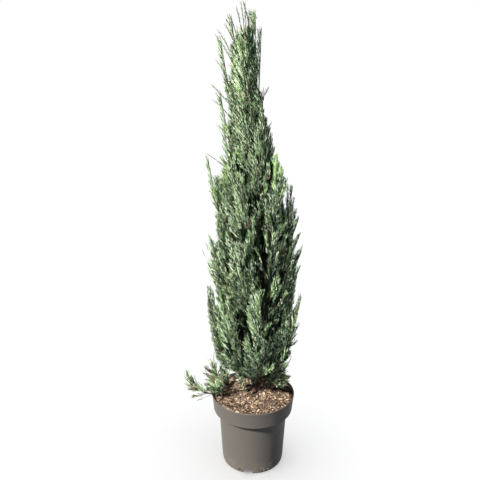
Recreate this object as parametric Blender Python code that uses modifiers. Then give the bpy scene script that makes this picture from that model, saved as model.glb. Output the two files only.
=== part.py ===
"""A rocky mountain juniper of the narrow, columnar kind, in a plastic nursery pot.

The pot's flat underside stands on z = 0 and the pot's axis is the Z axis.  The tree is an assembly
of separate solids: the trunk, the boughs at its foot and masses of foliage.  Each mass grows along
one curved axis.  It has a stem on that axis, twigs that leave the stem by a seeded rule, and
toothed sprays at the twigs' ends.  A dense mass also has a core that its sprays stand out of.
Lengths are in metres and angles in degrees.
"""

import math

import bmesh
import bpy
import numpy as np
from mathutils import Matrix, Vector

GAP = 0.0003  # kept between two solids that touch
UP = np.array([0.0, 0.0, 1.0])

# Pot
POT_HEIGHT = 0.320
POT_RIM_RADIUS = 0.1775
POT_BAND_HEIGHT = 0.0724  # the stepped-out band under the rim
POT_BAND_FOOT_RADIUS = 0.1695
POT_WALL_TOP_RADIUS = 0.1475
POT_WALL_FOOT_RADIUS = 0.1335
POT_BASE_RADIUS = 0.1295
POT_WALL = 0.003
POT_FLOOR = 0.012
POT_EDGE = 0.002  # rounding of the rim and of the band's lower edge
TURN_STEPS = 32
NOTCH_COUNT = 6
NOTCH_WIDTH = 0.044
NOTCH_HEIGHT = 0.008
NOTCH_DEPTH = 0.030
NOTCH_FIRST_ANGLE = 258.0

# Bark mulch and the soil under it
MULCH_EDGE_HEIGHT = 0.306
MULCH_CROWN_HEIGHT = 0.321
MULCH_FLAT_RADIUS = 0.060

# Trunk
TRUNK_FOOT = MULCH_CROWN_HEIGHT + GAP
TRUNK_TOP = 1.730
TRUNK_FOOT_PLACE = (0.010, 0.025)
TRUNK_LEAN = (-0.030, -0.025)
TRUNK_FOOT_RADIUS = 0.0145
TRUNK_TOP_RADIUS = 0.0034
ROOT_FLARE = 0.010
ROOT_FLARE_HEIGHT = 0.018
TRUNK_POINTS = 15

# Limbs and twigs
BOUGH_RADIUS = 0.0048
STEM_RADIUS = 0.0042
STEM_TIP_RADIUS = 0.0011
TWIG_RADIUS = 0.0016
STRAIGHT_END = 0.012  # straight stretch on both sides of a joint between bough and stem

# Foliage
SPRAY_WIDTH = 0.33  # as a share of its length
SPRAY_THICKNESS = 0.042  # as a share of its length
CORE_SHARE = 0.60  # the core's girth as a share of the mass's girth
CORE_START, CORE_END = 0.16, 0.88
CORE_SHARPNESS = 1.1  # how soon the core thins towards its tip
FLAME_START = 0.10
SPRAY_START, SPRAY_END = 0.15, 0.84  # where along its mass the first and last spray leave
SPLAY_LEAST, SPLAY_MOST = 0.12, 0.72  # sine of the angle between a spray and its mass's axis
# A spray that doesn't fit is turned round its mass and shortened, step by step
SPRAY_TRIES = ((0, 1.0), (15, 0.9), (-15, 0.9), (30, 0.8), (-30, 0.8), (0, 0.65), (50, 0.65), (0, 0.5))
SPACE_MARGIN = 0.0022  # between two masses' spaces
LIMB_MARGIN = 0.0030  # between foliage and any limb
GOLDEN_ANGLE = 137.508

# Tiers of masses on the trunk: name, number, height of the stems' roots, height of the tips, reach
# of the tips from the crown's axis, girth, direction of the first mass, number and length of sprays
TIERS = (
    ("low", 6, 0.47, 1.03, 0.158, 0.080, 190.0, 10, 0.165),
    ("middle", 5, 0.68, 1.30, 0.138, 0.080, 180.0, 10, 0.165),
    ("high", 4, 0.92, 1.45, 0.095, 0.068, 216.0, 9, 0.150),
    ("neck", 4, 1.10, 1.60, 0.078, 0.054, 180.0, 8, 0.135),
    ("crest", 3, 1.28, 1.74, 0.070, 0.048, 150.0, 8, 0.130),
    ("top", 2, 1.47, 1.83, 0.048, 0.038, 190.0, 8, 0.115),
)
SKIRT_COUNT = 7
SKIRT_BOUGH_HEIGHT = 0.345  # where the lowest of its boughs leaves the trunk
SKIRT_BOUGH_STEP = 0.008
SKIRT_FIRST_ANGLE = 175.0
SKIRT_ROOT_REACH = 0.052
SKIRT_ROOT_HEIGHT = 0.402
SKIRT_BEND_REACH = 0.140
SKIRT_BEND_RISE = 0.048
SKIRT_TIP_REACH = 0.165
SKIRT_TIP_HEIGHT = 0.800
SKIRT_GIRTH = 0.078
SKIRT_SPRAYS = 10
SKIRT_SPRAY_LENGTH = 0.150

# Tips that stand out of the even crown: mass, then x, y and height of its tip
STRAY_TIPS = {
    "mass_skirt_1": (-0.190, -0.010, 0.790),
    "mass_skirt_4": (0.172, -0.075, 0.700),
    "mass_skirt_5": (0.175, 0.070, 0.860),
    "mass_low_1": (-0.172, -0.030, 1.030),
    "mass_low_3": (0.075, -0.110, 1.070),
    "mass_low_4": (0.158, 0.020, 1.170),
    "mass_middle_1": (-0.180, -0.005, 1.340),
    "mass_middle_3": (0.100, -0.075, 1.310),
    "mass_neck_1": (-0.130, -0.015, 1.580),
    "mass_crest_1": (-0.128, 0.020, 1.770),
    "mass_crest_3": (0.022, 0.030, 1.800),
    "mass_top_1": (-0.088, 0.000, 1.840),
}
CROWN_REACH = 0.196  # no spray of the crown reaches farther from the pot's axis
CROWN_SHIFT_START, CROWN_SHIFT_END = 1.15, 1.50  # the crown's upper part stands off the trunk
CROWN_SHIFT = -0.030

# Low shoots over the rim: name, bough's root height, bough's tip, bend and tip of the mass
LOW_SHOOTS = (
    ("left_out", 0.334, (-0.148, -0.038, 0.338), (-0.222, -0.046, 0.318), (-0.287, -0.050, 0.415)),
    ("left_up", 0.352, (-0.122, 0.012, 0.350), (-0.172, 0.010, 0.375), (-0.168, 0.006, 0.500)),
    ("right", 0.336, (0.092, 0.044, 0.362), (0.150, 0.060, 0.385), (0.170, 0.064, 0.455)),
)
LOW_SHOOT_GIRTH = 0.042
LOW_SHOOT_SPRAYS = 8
LOW_SHOOT_SPRAY_LENGTH = 0.080
LEADER_TIP = (-0.046, 0.0, 1.895)
LEADER_GIRTH = 0.024
LEADER_SPRAYS = 7
LEADER_SPRAY_LENGTH = 0.085

COLOURS = {
    "pot": ((0.150, 0.140, 0.130), 0.55),
    "mulch": ((0.230, 0.150, 0.090), 0.90),
    "bark": ((0.170, 0.105, 0.070), 0.85),
    "foliage": ((0.120, 0.190, 0.130), 0.70),
}


# Scene, materials and small mesh tools


def clear_scene():
    """Start from an empty scene."""
    for thing in list(bpy.data.objects):
        bpy.data.objects.remove(thing, do_unlink=True)


def new_collection(name):
    """Make a collection in the scene."""
    collection = bpy.data.collections.new(name)
    bpy.context.scene.collection.children.link(collection)
    return collection


def make_material(name):
    """Make the plain surface of one kind of piece."""
    colour, roughness = COLOURS[name]
    material = bpy.data.materials.new(name)
    material.use_nodes = True
    shader = material.node_tree.nodes["Principled BSDF"]
    shader.inputs["Base Color"].default_value = (*colour, 1.0)
    shader.inputs["Roughness"].default_value = roughness
    shader.inputs["Metallic"].default_value = 0.0
    return material


def add_object(name, mesh, collection, material=None):
    """Put a mesh into a collection as a named object."""
    thing = bpy.data.objects.new(name, mesh)
    collection.objects.link(thing)
    if material:
        mesh.materials.append(material)
    return thing


def mesh_of(thing):
    """The object's shape with its modifiers applied, as a new mesh."""
    evaluated = thing.evaluated_get(bpy.context.evaluated_depsgraph_get())
    return bpy.data.meshes.new_from_object(evaluated)


def turned(name, profile, collection, material=None):
    """Turn a profile round the Z axis.  The profile runs down its outer side."""
    mesh = bpy.data.meshes.new(name)
    edges = [(index, index + 1) for index in range(len(profile) - 1)]
    mesh.from_pydata([(radius, 0.0, height) for radius, height in profile], edges, [])
    thing = add_object(name, mesh, collection, material)
    screw = thing.modifiers.new("turn", "SCREW")
    screw.steps = screw.render_steps = TURN_STEPS
    screw.use_merge_vertices = True
    screw.merge_threshold = 0.00001
    screw.use_smooth_shade = False
    return thing


def tapered_limb(name, points, radii, sides, collection, material=None):
    """A round limb with filled ends through the points, as a mesh."""
    curve = bpy.data.curves.new(name, "CURVE")
    curve.dimensions = "3D"
    curve.bevel_depth = radii[0]
    curve.bevel_resolution = (sides - 4) // 2
    curve.use_fill_caps = True
    spline = curve.splines.new("POLY")
    spline.points.add(len(points) - 1)
    for knot, place, radius in zip(spline.points, points, radii):
        knot.co = (*place, 1.0)
        knot.radius = radius / radii[0]
    guide = bpy.data.objects.new(name + "_guide", curve)
    collection.objects.link(guide)
    mesh = mesh_of(guide)
    bpy.data.objects.remove(guide, do_unlink=True)
    bpy.data.curves.remove(curve)
    shape = bmesh.new()
    shape.from_mesh(mesh)
    bmesh.ops.remove_doubles(shape, verts=shape.verts, dist=0.00001)
    shape.to_mesh(mesh)
    shape.free()
    mesh.name = name
    return add_object(name, mesh, collection, material)


def cut(thing, cutter):
    """Cut a solid by another."""
    modifier = thing.modifiers.new("cut", "BOOLEAN")
    modifier.operation = "DIFFERENCE"
    modifier.solver = "EXACT"
    modifier.object = cutter


def bake(thing):
    """Replace the object's mesh by its shape with the modifiers applied."""
    mesh = mesh_of(thing)
    thing.modifiers.clear()
    thing.data = mesh
    mesh.name = thing.name


def keep_main_body(thing):
    """Drop loose scraps and the walls of sealed hollows, so that one body is left."""
    shape = bmesh.new()
    shape.from_mesh(thing.data)
    unseen = set(shape.verts)
    bodies = []
    while unseen:
        body = {unseen.pop()}
        front = list(body)
        while front:
            vertex = front.pop()
            for edge in vertex.link_edges:
                other = edge.other_vert(vertex)
                if other in unseen:
                    unseen.remove(other)
                    body.add(other)
                    front.append(other)
        bodies.append(body)
    main = max(bodies, key=len)
    scraps = [vertex for vertex in shape.verts if vertex not in main]
    bmesh.ops.delete(shape, geom=scraps, context="VERTS")
    shape.to_mesh(thing.data)
    shape.free()


def fuse(name, pieces, cutter, collection, material):
    """Join overlapping solids into one by a single union, and cut it clear of the trunk."""
    group = bpy.data.collections.new(name + "_pieces")
    bpy.context.scene.collection.children.link(group)
    first, others = pieces[0], pieces[1:]
    for piece in others:
        for owner in piece.users_collection:
            owner.objects.unlink(piece)
        group.objects.link(piece)
    union = first.modifiers.new("union", "BOOLEAN")
    union.operation = "UNION"
    union.operand_type = "COLLECTION"
    union.collection = group
    union.solver = "EXACT"
    cut(first, cutter)
    bake(first)
    for piece in others:
        bpy.data.objects.remove(piece, do_unlink=True)
    bpy.data.collections.remove(group)
    keep_main_body(first)
    first.name = name
    first.data.name = name
    first.data.materials.clear()
    first.data.materials.append(material)
    return first


# Pot and mulch


def pot_inner_profile(offset=0.0):
    """The pot's inside from the floor's middle to the rim, moved off the wall by an offset."""
    ledge = POT_HEIGHT - POT_BAND_HEIGHT + POT_WALL
    return [
        (0.0, POT_FLOOR + offset),
        (POT_BASE_RADIUS - 2 * POT_WALL - offset, POT_FLOOR + offset),
        (POT_WALL_FOOT_RADIUS - POT_WALL - offset, POT_FLOOR + 2 * POT_WALL + offset),
        (POT_WALL_TOP_RADIUS - POT_WALL - offset, ledge + offset),
        (POT_BAND_FOOT_RADIUS - POT_WALL - offset, ledge + offset),
        (POT_RIM_RADIUS - POT_WALL - offset, POT_HEIGHT - POT_EDGE),
    ]


def pot_outer_profile():
    """The pot's outside from the rim down to the middle of its underside."""
    step = POT_HEIGHT - POT_BAND_HEIGHT
    return [
        (POT_RIM_RADIUS - POT_EDGE, POT_HEIGHT),
        (POT_RIM_RADIUS, POT_HEIGHT - POT_EDGE),
        (POT_BAND_FOOT_RADIUS, step + POT_EDGE),
        (POT_BAND_FOOT_RADIUS - POT_EDGE, step),
        (POT_WALL_TOP_RADIUS, step),
        (POT_WALL_FOOT_RADIUS, 4 * POT_WALL),
        (POT_BASE_RADIUS, 0.0),
        (0.0, 0.0),
    ]


def make_notch_cutter(collection):
    """Blocks that cut the drain notches into the pot's foot."""
    shape = bmesh.new()
    size = Matrix.Diagonal((2 * NOTCH_DEPTH, NOTCH_WIDTH, 2 * NOTCH_HEIGHT, 1.0))
    for index in range(NOTCH_COUNT):
        angle = math.radians(NOTCH_FIRST_ANGLE + 360.0 * index / NOTCH_COUNT)
        place = Matrix.Rotation(angle, 4, "Z") @ Matrix.Translation((POT_BASE_RADIUS, 0.0, 0.0))
        bmesh.ops.create_cube(shape, size=1.0, matrix=place @ size)
    mesh = bpy.data.meshes.new("notch_cutter")
    shape.to_mesh(mesh)
    shape.free()
    return hide_cutter(add_object("notch_cutter", mesh, collection))


def hide_cutter(cutter):
    """Keep a cutter out of the finished object."""
    cutter.hide_render = True
    cutter.display_type = "WIRE"
    return cutter


def make_pot(collection, cutters, material):
    """The stepped nursery pot with drain notches in its foot."""
    pot = turned("pot", pot_inner_profile() + pot_outer_profile(), collection, material)
    cut(pot, make_notch_cutter(cutters))
    return pot


def make_mulch(collection, material):
    """Soil that fills the pot, under a low mound of bark mulch."""
    floor, foot, heel, wall_top, ledge, rim = pot_inner_profile(GAP)
    share = (MULCH_EDGE_HEIGHT - ledge[1]) / (rim[1] - ledge[1])
    edge = (ledge[0] + share * (rim[0] - ledge[0]) - GAP, MULCH_EDGE_HEIGHT)
    shoulder = (
        0.5 * (edge[0] + MULCH_FLAT_RADIUS),
        MULCH_EDGE_HEIGHT + 0.65 * (MULCH_CROWN_HEIGHT - MULCH_EDGE_HEIGHT),
    )
    top = [(0.0, MULCH_CROWN_HEIGHT), (MULCH_FLAT_RADIUS, MULCH_CROWN_HEIGHT), shoulder, edge]
    return turned("mulch", top + [ledge, wall_top, heel, foot, floor], collection, material)


# Trunk and boughs


def trunk_share(height):
    """How far up the trunk a height lies, from 0 at its foot to 1 at its top."""
    return np.clip((height - TRUNK_FOOT) / (TRUNK_TOP - TRUNK_FOOT), 0.0, 1.0)


def trunk_centre(height):
    """The middle of the trunk at a height: it leans over more towards its top."""
    share = trunk_share(height)
    sway = 0.003 * math.sin(9.0 * share) * share
    x = TRUNK_FOOT_PLACE[0] + TRUNK_LEAN[0] * share**2 + sway
    y = TRUNK_FOOT_PLACE[1] + TRUNK_LEAN[1] * share - sway
    return np.array([x, y, height])


def trunk_radius(height):
    """The trunk's radius at a height, with the flare of its foot."""
    share = trunk_share(height)
    flare = ROOT_FLARE * math.exp(-(height - TRUNK_FOOT) / ROOT_FLARE_HEIGHT)
    return TRUNK_FOOT_RADIUS + share * (TRUNK_TOP_RADIUS - TRUNK_FOOT_RADIUS) + flare


def trunk_heights():
    """Heights of the trunk's rings, closer together where the foot flares."""
    return TRUNK_FOOT + (TRUNK_TOP - TRUNK_FOOT) * np.linspace(0.0, 1.0, TRUNK_POINTS) ** 1.6


def make_trunk(name, extra, collection, material=None):
    """The trunk, whole from its flat foot to its tip, thicker all round by an extra."""
    sides = 8
    points = [trunk_centre(height) for height in trunk_heights()]
    points[1][:2] = points[0][:2]  # upright at the foot, so that its end is a level cut
    radii = [trunk_radius(height) + extra / math.cos(math.pi / sides) for height in trunk_heights()]
    return tapered_limb(name, points, radii, sides, collection, material)


def bezier(start, bend, end, count):
    """Points along a curve that leaves its start towards the bend."""
    share = np.linspace(0.0, 1.0, count)[:, None]
    return (1 - share) ** 2 * start + 2 * share * (1 - share) * bend + share**2 * end


def unit(vector):
    """The vector at length 1."""
    return vector / np.linalg.norm(vector)


def place_at(angle, reach, height, centre=(0.0, 0.0)):
    """A point at a direction and distance from an upright axis."""
    turn = math.radians(angle)
    return np.array(
        [centre[0] + reach * math.cos(turn), centre[1] + reach * math.sin(turn), height]
    )


def bough_path(root_height, end, heading):
    """A bough's points, from inside the trunk to its tip, which runs straight along a heading."""
    root = trunk_centre(root_height)
    before_end = end - STRAIGHT_END * heading
    bend = before_end - 0.45 * np.linalg.norm(before_end - root) * heading
    return np.vstack([bezier(root, bend, before_end, 5), end])


# Axes of the masses


class Mass:
    """One mass of foliage: its axis, its girth and how many sprays it has."""

    def __init__(self, name, points, girth, sprays, spray_length, dense, seed):
        self.name = name
        self.axis = points
        self.girth = girth
        self.sprays = sprays
        self.spray_length = spray_length
        self.dense = dense
        self.random = np.random.default_rng(seed)
        steps = np.linalg.norm(np.diff(points, axis=0), axis=1)
        self.along = np.concatenate([[0.0], np.cumsum(steps)])
        self.length = self.along[-1]

    def at(self, share):
        """The point at a share of the axis's length."""
        where = share * self.length
        return np.array([np.interp(where, self.along, self.axis[:, k]) for k in range(3)])

    def heading(self, share):
        """The axis's direction there."""
        return unit(self.at(min(share + 0.03, 1.0)) - self.at(max(share - 0.03, 0.0)))

    def outward(self, share, angle):
        """A direction square to the axis there."""
        heading = self.heading(share)
        side = unit(np.cross(heading, [0.31, 0.95, 0.05]))
        front = np.cross(heading, side)
        turn = math.radians(angle)
        return math.cos(turn) * side + math.sin(turn) * front

    def flame(self, share):
        """The mass's girth there: full in its lower half and drawn out to a point."""
        rise = np.clip((share - FLAME_START) / (1.0 - FLAME_START), 0.0, 1.0)
        return self.girth * 2.26 * rise**0.5 * (1.0 - rise) ** 0.7

    def core_girth(self, share):
        """The girth of its dense heart there."""
        rise = min(max((share - CORE_START) / (CORE_END - CORE_START), 0.0), 1.0)
        return CORE_SHARE * self.flame(share) * (1.0 - 0.8 * rise**CORE_SHARPNESS)

    def hold(self, share):
        """How far from the axis a twig carries its spray."""
        return 0.40 * self.core_girth(share) if self.dense else 0.25 * self.flame(share)


def crown_centre(height):
    """The middle of the crown at a height."""
    rise = (height - CROWN_SHIFT_START) / (CROWN_SHIFT_END - CROWN_SHIFT_START)
    centre = trunk_centre(height)
    return centre[0] + CROWN_SHIFT * min(max(rise, 0.0), 1.0), centre[1]


def trunk_mass(tier, index, random):
    """A mass of one tier, on a stem that leaves the trunk."""
    name, count, root_height, tip_height, reach, girth, first_angle, sprays, length = tier
    angle = first_angle + 360.0 * index / count
    label = f"mass_{name}_{index + 1}"
    root_height += random.uniform(-0.02, 0.02)
    tip_height += random.uniform(-0.035, 0.035)
    reach += random.uniform(-0.006, 0.006)
    tip = place_at(angle, reach, tip_height, crown_centre(tip_height))
    tip = np.array(STRAY_TIPS.get(label, tip))
    root = trunk_centre(root_height)
    bend = 0.42 * root + 0.58 * tip
    bend[2] = root_height + 0.26 * (tip[2] - root_height)
    points = bezier(root, bend, tip, 9)
    return Mass(label, points, girth, sprays, length, True, 100 + len(label) * index)


def bough_mass(label, end, bend, tip, foliage, dense, seed):
    """A mass whose stem goes on from a bough's tip."""
    heading = unit(bend - end)
    first = end + GAP * heading
    second = end + STRAIGHT_END * heading
    points = np.vstack([first, bezier(second, bend, tip, 8)])
    return Mass(label, points, *foliage, dense, seed)


def skirt_limbs(random):
    """The lowest tier: boughs that rise from the trunk's foot, and the masses on them."""
    boughs, masses = {}, []
    for index in range(SKIRT_COUNT):
        angle = SKIRT_FIRST_ANGLE + 360.0 * index / SKIRT_COUNT
        label = f"skirt_{index + 1}"
        centre = TRUNK_FOOT_PLACE
        end_height = SKIRT_ROOT_HEIGHT + random.uniform(-0.015, 0.015)
        end = place_at(angle, SKIRT_ROOT_REACH, end_height, centre)
        tip_height = SKIRT_TIP_HEIGHT + random.uniform(-0.05, 0.05)
        tip = place_at(angle, SKIRT_TIP_REACH, tip_height)
        tip = np.array(STRAY_TIPS.get("mass_" + label, tip))
        bend = place_at(angle, SKIRT_BEND_REACH, end_height + SKIRT_BEND_RISE)
        step = (3 * index + 4) % SKIRT_COUNT  # neighbours leave the trunk at unlike heights
        root_height = SKIRT_BOUGH_HEIGHT + SKIRT_BOUGH_STEP * step
        boughs["bough_" + label] = bough_path(root_height, end, unit(bend - end))
        foliage = (SKIRT_GIRTH, SKIRT_SPRAYS, SKIRT_SPRAY_LENGTH)
        masses.append(bough_mass("mass_" + label, end, bend, tip, foliage, True, 40 + index))
    return boughs, masses


def low_limbs():
    """The low shoots: boughs that run out over the rim, and the open masses on them."""
    boughs, masses = {}, []
    for index, (label, root_height, end, bend, tip) in enumerate(LOW_SHOOTS):
        end, bend, tip = np.array(end), np.array(bend), np.array(tip)
        boughs["bough_" + label] = bough_path(root_height, end, unit(bend - end))
        foliage = (LOW_SHOOT_GIRTH, LOW_SHOOT_SPRAYS, LOW_SHOOT_SPRAY_LENGTH)
        masses.append(bough_mass("mass_" + label, end, bend, tip, foliage, False, 70 + index))
    return boughs, masses


def leader_mass():
    """The thin shoots that carry on from the trunk's tip."""
    top = trunk_centre(TRUNK_TOP)
    tip = np.array(LEADER_TIP)
    foliage = (LEADER_GIRTH, LEADER_SPRAYS, LEADER_SPRAY_LENGTH)
    return bough_mass("mass_leader", top, top + 0.5 * (tip[2] - top[2]) * UP, tip, foliage, False, 91)


# Each mass's own space


class Space:
    """Says which points a mass may use: nearer to its own axis than to any other's."""

    def __init__(self, masses, limbs):
        self.starts = np.vstack([mass.axis[:-1] for mass in masses])
        self.ends = np.vstack([mass.axis[1:] for mass in masses])
        self.owners = np.concatenate(
            [np.full(len(mass.axis) - 1, index) for index, mass in enumerate(masses)]
        )
        self.limb_starts = np.vstack([points[:-1] for points, _ in limbs])
        self.limb_ends = np.vstack([points[1:] for points, _ in limbs])
        self.limb_radii = np.concatenate(
            [np.maximum(radii[:-1], radii[1:]) for _, radii in limbs]
        )

    @staticmethod
    def distances(points, starts, ends):
        """Distance from each point to each straight piece."""
        run = ends - starts
        offset = points[:, None, :] - starts[None]
        share = np.einsum("psk,sk->ps", offset, run) / np.einsum("sk,sk->s", run, run)
        nearest = starts[None] + np.clip(share, 0.0, 1.0)[..., None] * run[None]
        return np.linalg.norm(points[:, None, :] - nearest, axis=2)

    def allows(self, index, points, limb_margin=LIMB_MARGIN):
        """Whether each point lies in the mass's own space, off the limbs and off the pot."""
        points = np.atleast_2d(points)
        to_axes = self.distances(points, self.starts, self.ends)
        own = to_axes[:, self.owners == index].min(axis=1)
        others = to_axes[:, self.owners != index].min(axis=1)
        to_limbs = self.distances(points, self.limb_starts, self.limb_ends) - self.limb_radii
        off_limbs = to_limbs.min(axis=1) > limb_margin
        over_pot = np.hypot(points[:, 0], points[:, 1]) < POT_RIM_RADIUS + 0.006
        off_pot = ~over_pot | (points[:, 2] > POT_HEIGHT + 0.005)
        return (own + SPACE_MARGIN < others) & off_limbs & off_pot


# Pieces of a mass


def core_radius(mass, index, space, share, angle, wanted):
    """How far the core may stand off the axis in one direction."""
    steps = np.linspace(0.1, 1.0, 12)
    outward = mass.outward(share, angle)
    reach = wanted / 0.85
    inside = space.allows(index, mass.at(share) + np.outer(steps * reach, outward))
    free = steps[: np.argmin(inside)] if not inside.all() else steps
    limit = free[-1] * reach if len(free) else 0.0
    return min(wanted, 0.85 * limit)


def make_core(mass, index, space, collection):
    """The lumpy heart of a dense mass, formed from a sphere along the mass's axis."""
    shape = bmesh.new()
    bmesh.ops.create_uvsphere(shape, u_segments=6, v_segments=6, radius=1.0)
    for vertex in shape.verts:
        x, y, z = vertex.co
        share = CORE_START + (CORE_END - CORE_START) * 0.5 * (z + 1.0)
        place = mass.at(share)
        if abs(z) < 0.999:
            angle = math.degrees(math.atan2(y, x)) + 25.0 * z
            wanted = mass.core_girth(share) * mass.random.uniform(0.8, 1.15)
            radius = core_radius(mass, index, space, share, angle, wanted)
            place = place + max(radius, 0.0035) * mass.outward(share, angle)
        vertex.co = Vector(place)
    mesh = bpy.data.meshes.new("core")
    shape.to_mesh(mesh)
    shape.free()
    return add_object("core", mesh, collection)


def make_stem(mass, collection):
    """The stem, which runs along the mass's axis and thins towards its tip."""
    count = len(mass.axis)
    radii = np.linspace(STEM_RADIUS, STEM_TIP_RADIUS, count)
    return tapered_limb("stem", list(mass.axis), list(radii), 4, collection)


def make_twig(start, end, collection):
    """A three-sided twig."""
    run = Vector(end - start)
    turn = run.to_track_quat("Z", "Y").to_matrix().to_4x4()
    place = Matrix.Translation(Vector(0.5 * (start + end))) @ turn
    shape = bmesh.new()
    bmesh.ops.create_cone(
        shape,
        cap_ends=True,
        segments=3,
        radius1=TWIG_RADIUS,
        radius2=0.6 * TWIG_RADIUS,
        depth=run.length,
        matrix=place,
    )
    mesh = bpy.data.meshes.new("twig")
    shape.to_mesh(mesh)
    shape.free()
    return add_object("twig", mesh, collection)


def spray_points(root, heading, flat, length):
    """The corners of a toothed spray: its outline from the root round, then its two ridges."""
    side = np.cross(flat, heading)
    width = SPRAY_WIDTH * length
    outline = ((0.0, 0.0), (0.50, 0.60), (0.17, 0.64), (0.0, 1.0), (-0.17, 0.60), (-0.50, 0.52))
    corners = [root + across * width * side + up * length * heading for across, up in outline]
    ridge = root + 0.45 * length * heading
    half = 0.5 * SPRAY_THICKNESS * length
    return corners + [ridge + half * flat, ridge - half * flat]


def make_spray(corners, collection):
    """A toothed spray of foliage: two low pyramids back to back on one outline."""
    faces = []
    for index in range(6):
        after = (index + 1) % 6
        faces.append((index, after, 6))
        faces.append((after, index, 7))
    mesh = bpy.data.meshes.new("spray")
    mesh.from_pydata([tuple(corner) for corner in corners], [], faces)
    return add_object("spray", mesh, collection)


def between(first, second, count):
    """Points from one place to another."""
    return first + np.linspace(0.0, 1.0, count)[:, None] * (second - first)


def spray_fits(mass, index, space, start, corners):
    """Whether a twig and its spray stay in the mass's own space and in the crown's outline."""
    checks = [between(start, corners[0], 4)[1:]]
    for corner in (1, 2, 3, 4, 5):
        checks.append(between(corners[6], corners[corner], 4))
    checks = np.vstack([*checks, corners])
    in_crown = np.hypot(checks[:, 0], checks[:, 1]).max() < CROWN_REACH or not mass.dense
    return in_crown and space.allows(index, checks).all()


def grow_spray(mass, index, space, number, collection):
    """One twig with its spray, turned or shortened until it fits, or nothing."""
    random = mass.random
    rise = (number + 0.5) / mass.sprays
    share = SPRAY_START + (SPRAY_END - SPRAY_START) * rise
    angle = GOLDEN_ANGLE * number + random.uniform(-15.0, 15.0)
    length = mass.spray_length * random.uniform(0.85, 1.10) * (1.0 - 0.25 * rise)
    length = min(length, (1.0 - share) * mass.length)
    hold = mass.hold(share)
    spread = random.uniform(0.80, 1.05) * mass.flame(min(share + 0.10, 1.0)) - hold
    splay = math.asin(min(max(spread / length, SPLAY_LEAST), SPLAY_MOST))
    roll = math.radians(random.uniform(-40.0, 40.0))
    for turn, shrink in SPRAY_TRIES:
        outward = mass.outward(share, angle + turn)
        back = hold / math.tan(splay) / mass.length
        start = mass.at(max(share - back, FLAME_START))
        emerge = mass.at(share) + hold * outward
        heading = unit(math.cos(splay) * mass.heading(share) + math.sin(splay) * outward)
        facing = unit(outward - outward.dot(heading) * heading)
        flat = math.cos(roll) * facing + math.sin(roll) * np.cross(heading, facing)
        root = start + 0.70 * (emerge - start)
        corners = spray_points(root, heading, flat, shrink * length)
        if spray_fits(mass, index, space, start, corners):
            return [make_twig(start, emerge, collection), make_spray(corners, collection)]
    return []


def make_mass(mass, index, space, cutter, collection, material):
    """Fuse a mass from its stem, its core if it is dense, and its twigs and sprays."""
    pieces = [make_stem(mass, collection)]
    if mass.dense:
        pieces.insert(0, make_core(mass, index, space, collection))
    for number in range(mass.sprays):
        pieces += grow_spray(mass, index, space, number, collection)
    return fuse(mass.name, pieces, cutter, collection, material)


def main():
    """Build the whole plant."""
    clear_scene()
    plant = new_collection("potted juniper")
    cutters = new_collection("cutters")
    materials = {name: make_material(name) for name in COLOURS}
    make_pot(plant, cutters, materials["pot"])
    make_mulch(plant, materials["mulch"])
    make_trunk("trunk", 0.0, plant, materials["bark"])
    trunk_cutter = hide_cutter(make_trunk("trunk_cutter", GAP, cutters))

    random = np.random.default_rng(7)
    boughs, masses = skirt_limbs(random)
    low_boughs, low_masses = low_limbs()
    boughs.update(low_boughs)
    masses += low_masses
    for tier in TIERS:
        masses += [trunk_mass(tier, index, random) for index in range(tier[1])]
    masses.append(leader_mass())

    heights = trunk_heights()
    trunk_points = np.array([trunk_centre(height) for height in heights])
    limbs = [(trunk_points, np.array([trunk_radius(height) for height in heights]))]
    for name, points in boughs.items():
        radii = np.linspace(BOUGH_RADIUS, STEM_RADIUS, len(points))
        limbs.append((points, radii))
        bough = tapered_limb(name, list(points), list(radii), 6, plant, materials["bark"])
        cut(bough, trunk_cutter)

    space = Space(masses, limbs)
    for index, mass in enumerate(masses):
        make_mass(mass, index, space, trunk_cutter, plant, materials["foliage"])


main()
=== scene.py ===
"""A rocky mountain juniper of the narrow, columnar kind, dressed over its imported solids.

Every piece is made in place, in metres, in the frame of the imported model.  The foliage grows by
the same rule as the solids: each mass has one curved axis, and keeps to the space nearer to its
own axis than to any other.  Here the rule is carried on to finer twigs and to sprays of cords, and
more shoots fill up an even crown between the masses.
"""

import math
import bmesh
import bpy
import numpy as np
from mathutils import Matrix, Vector, noise


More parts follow.
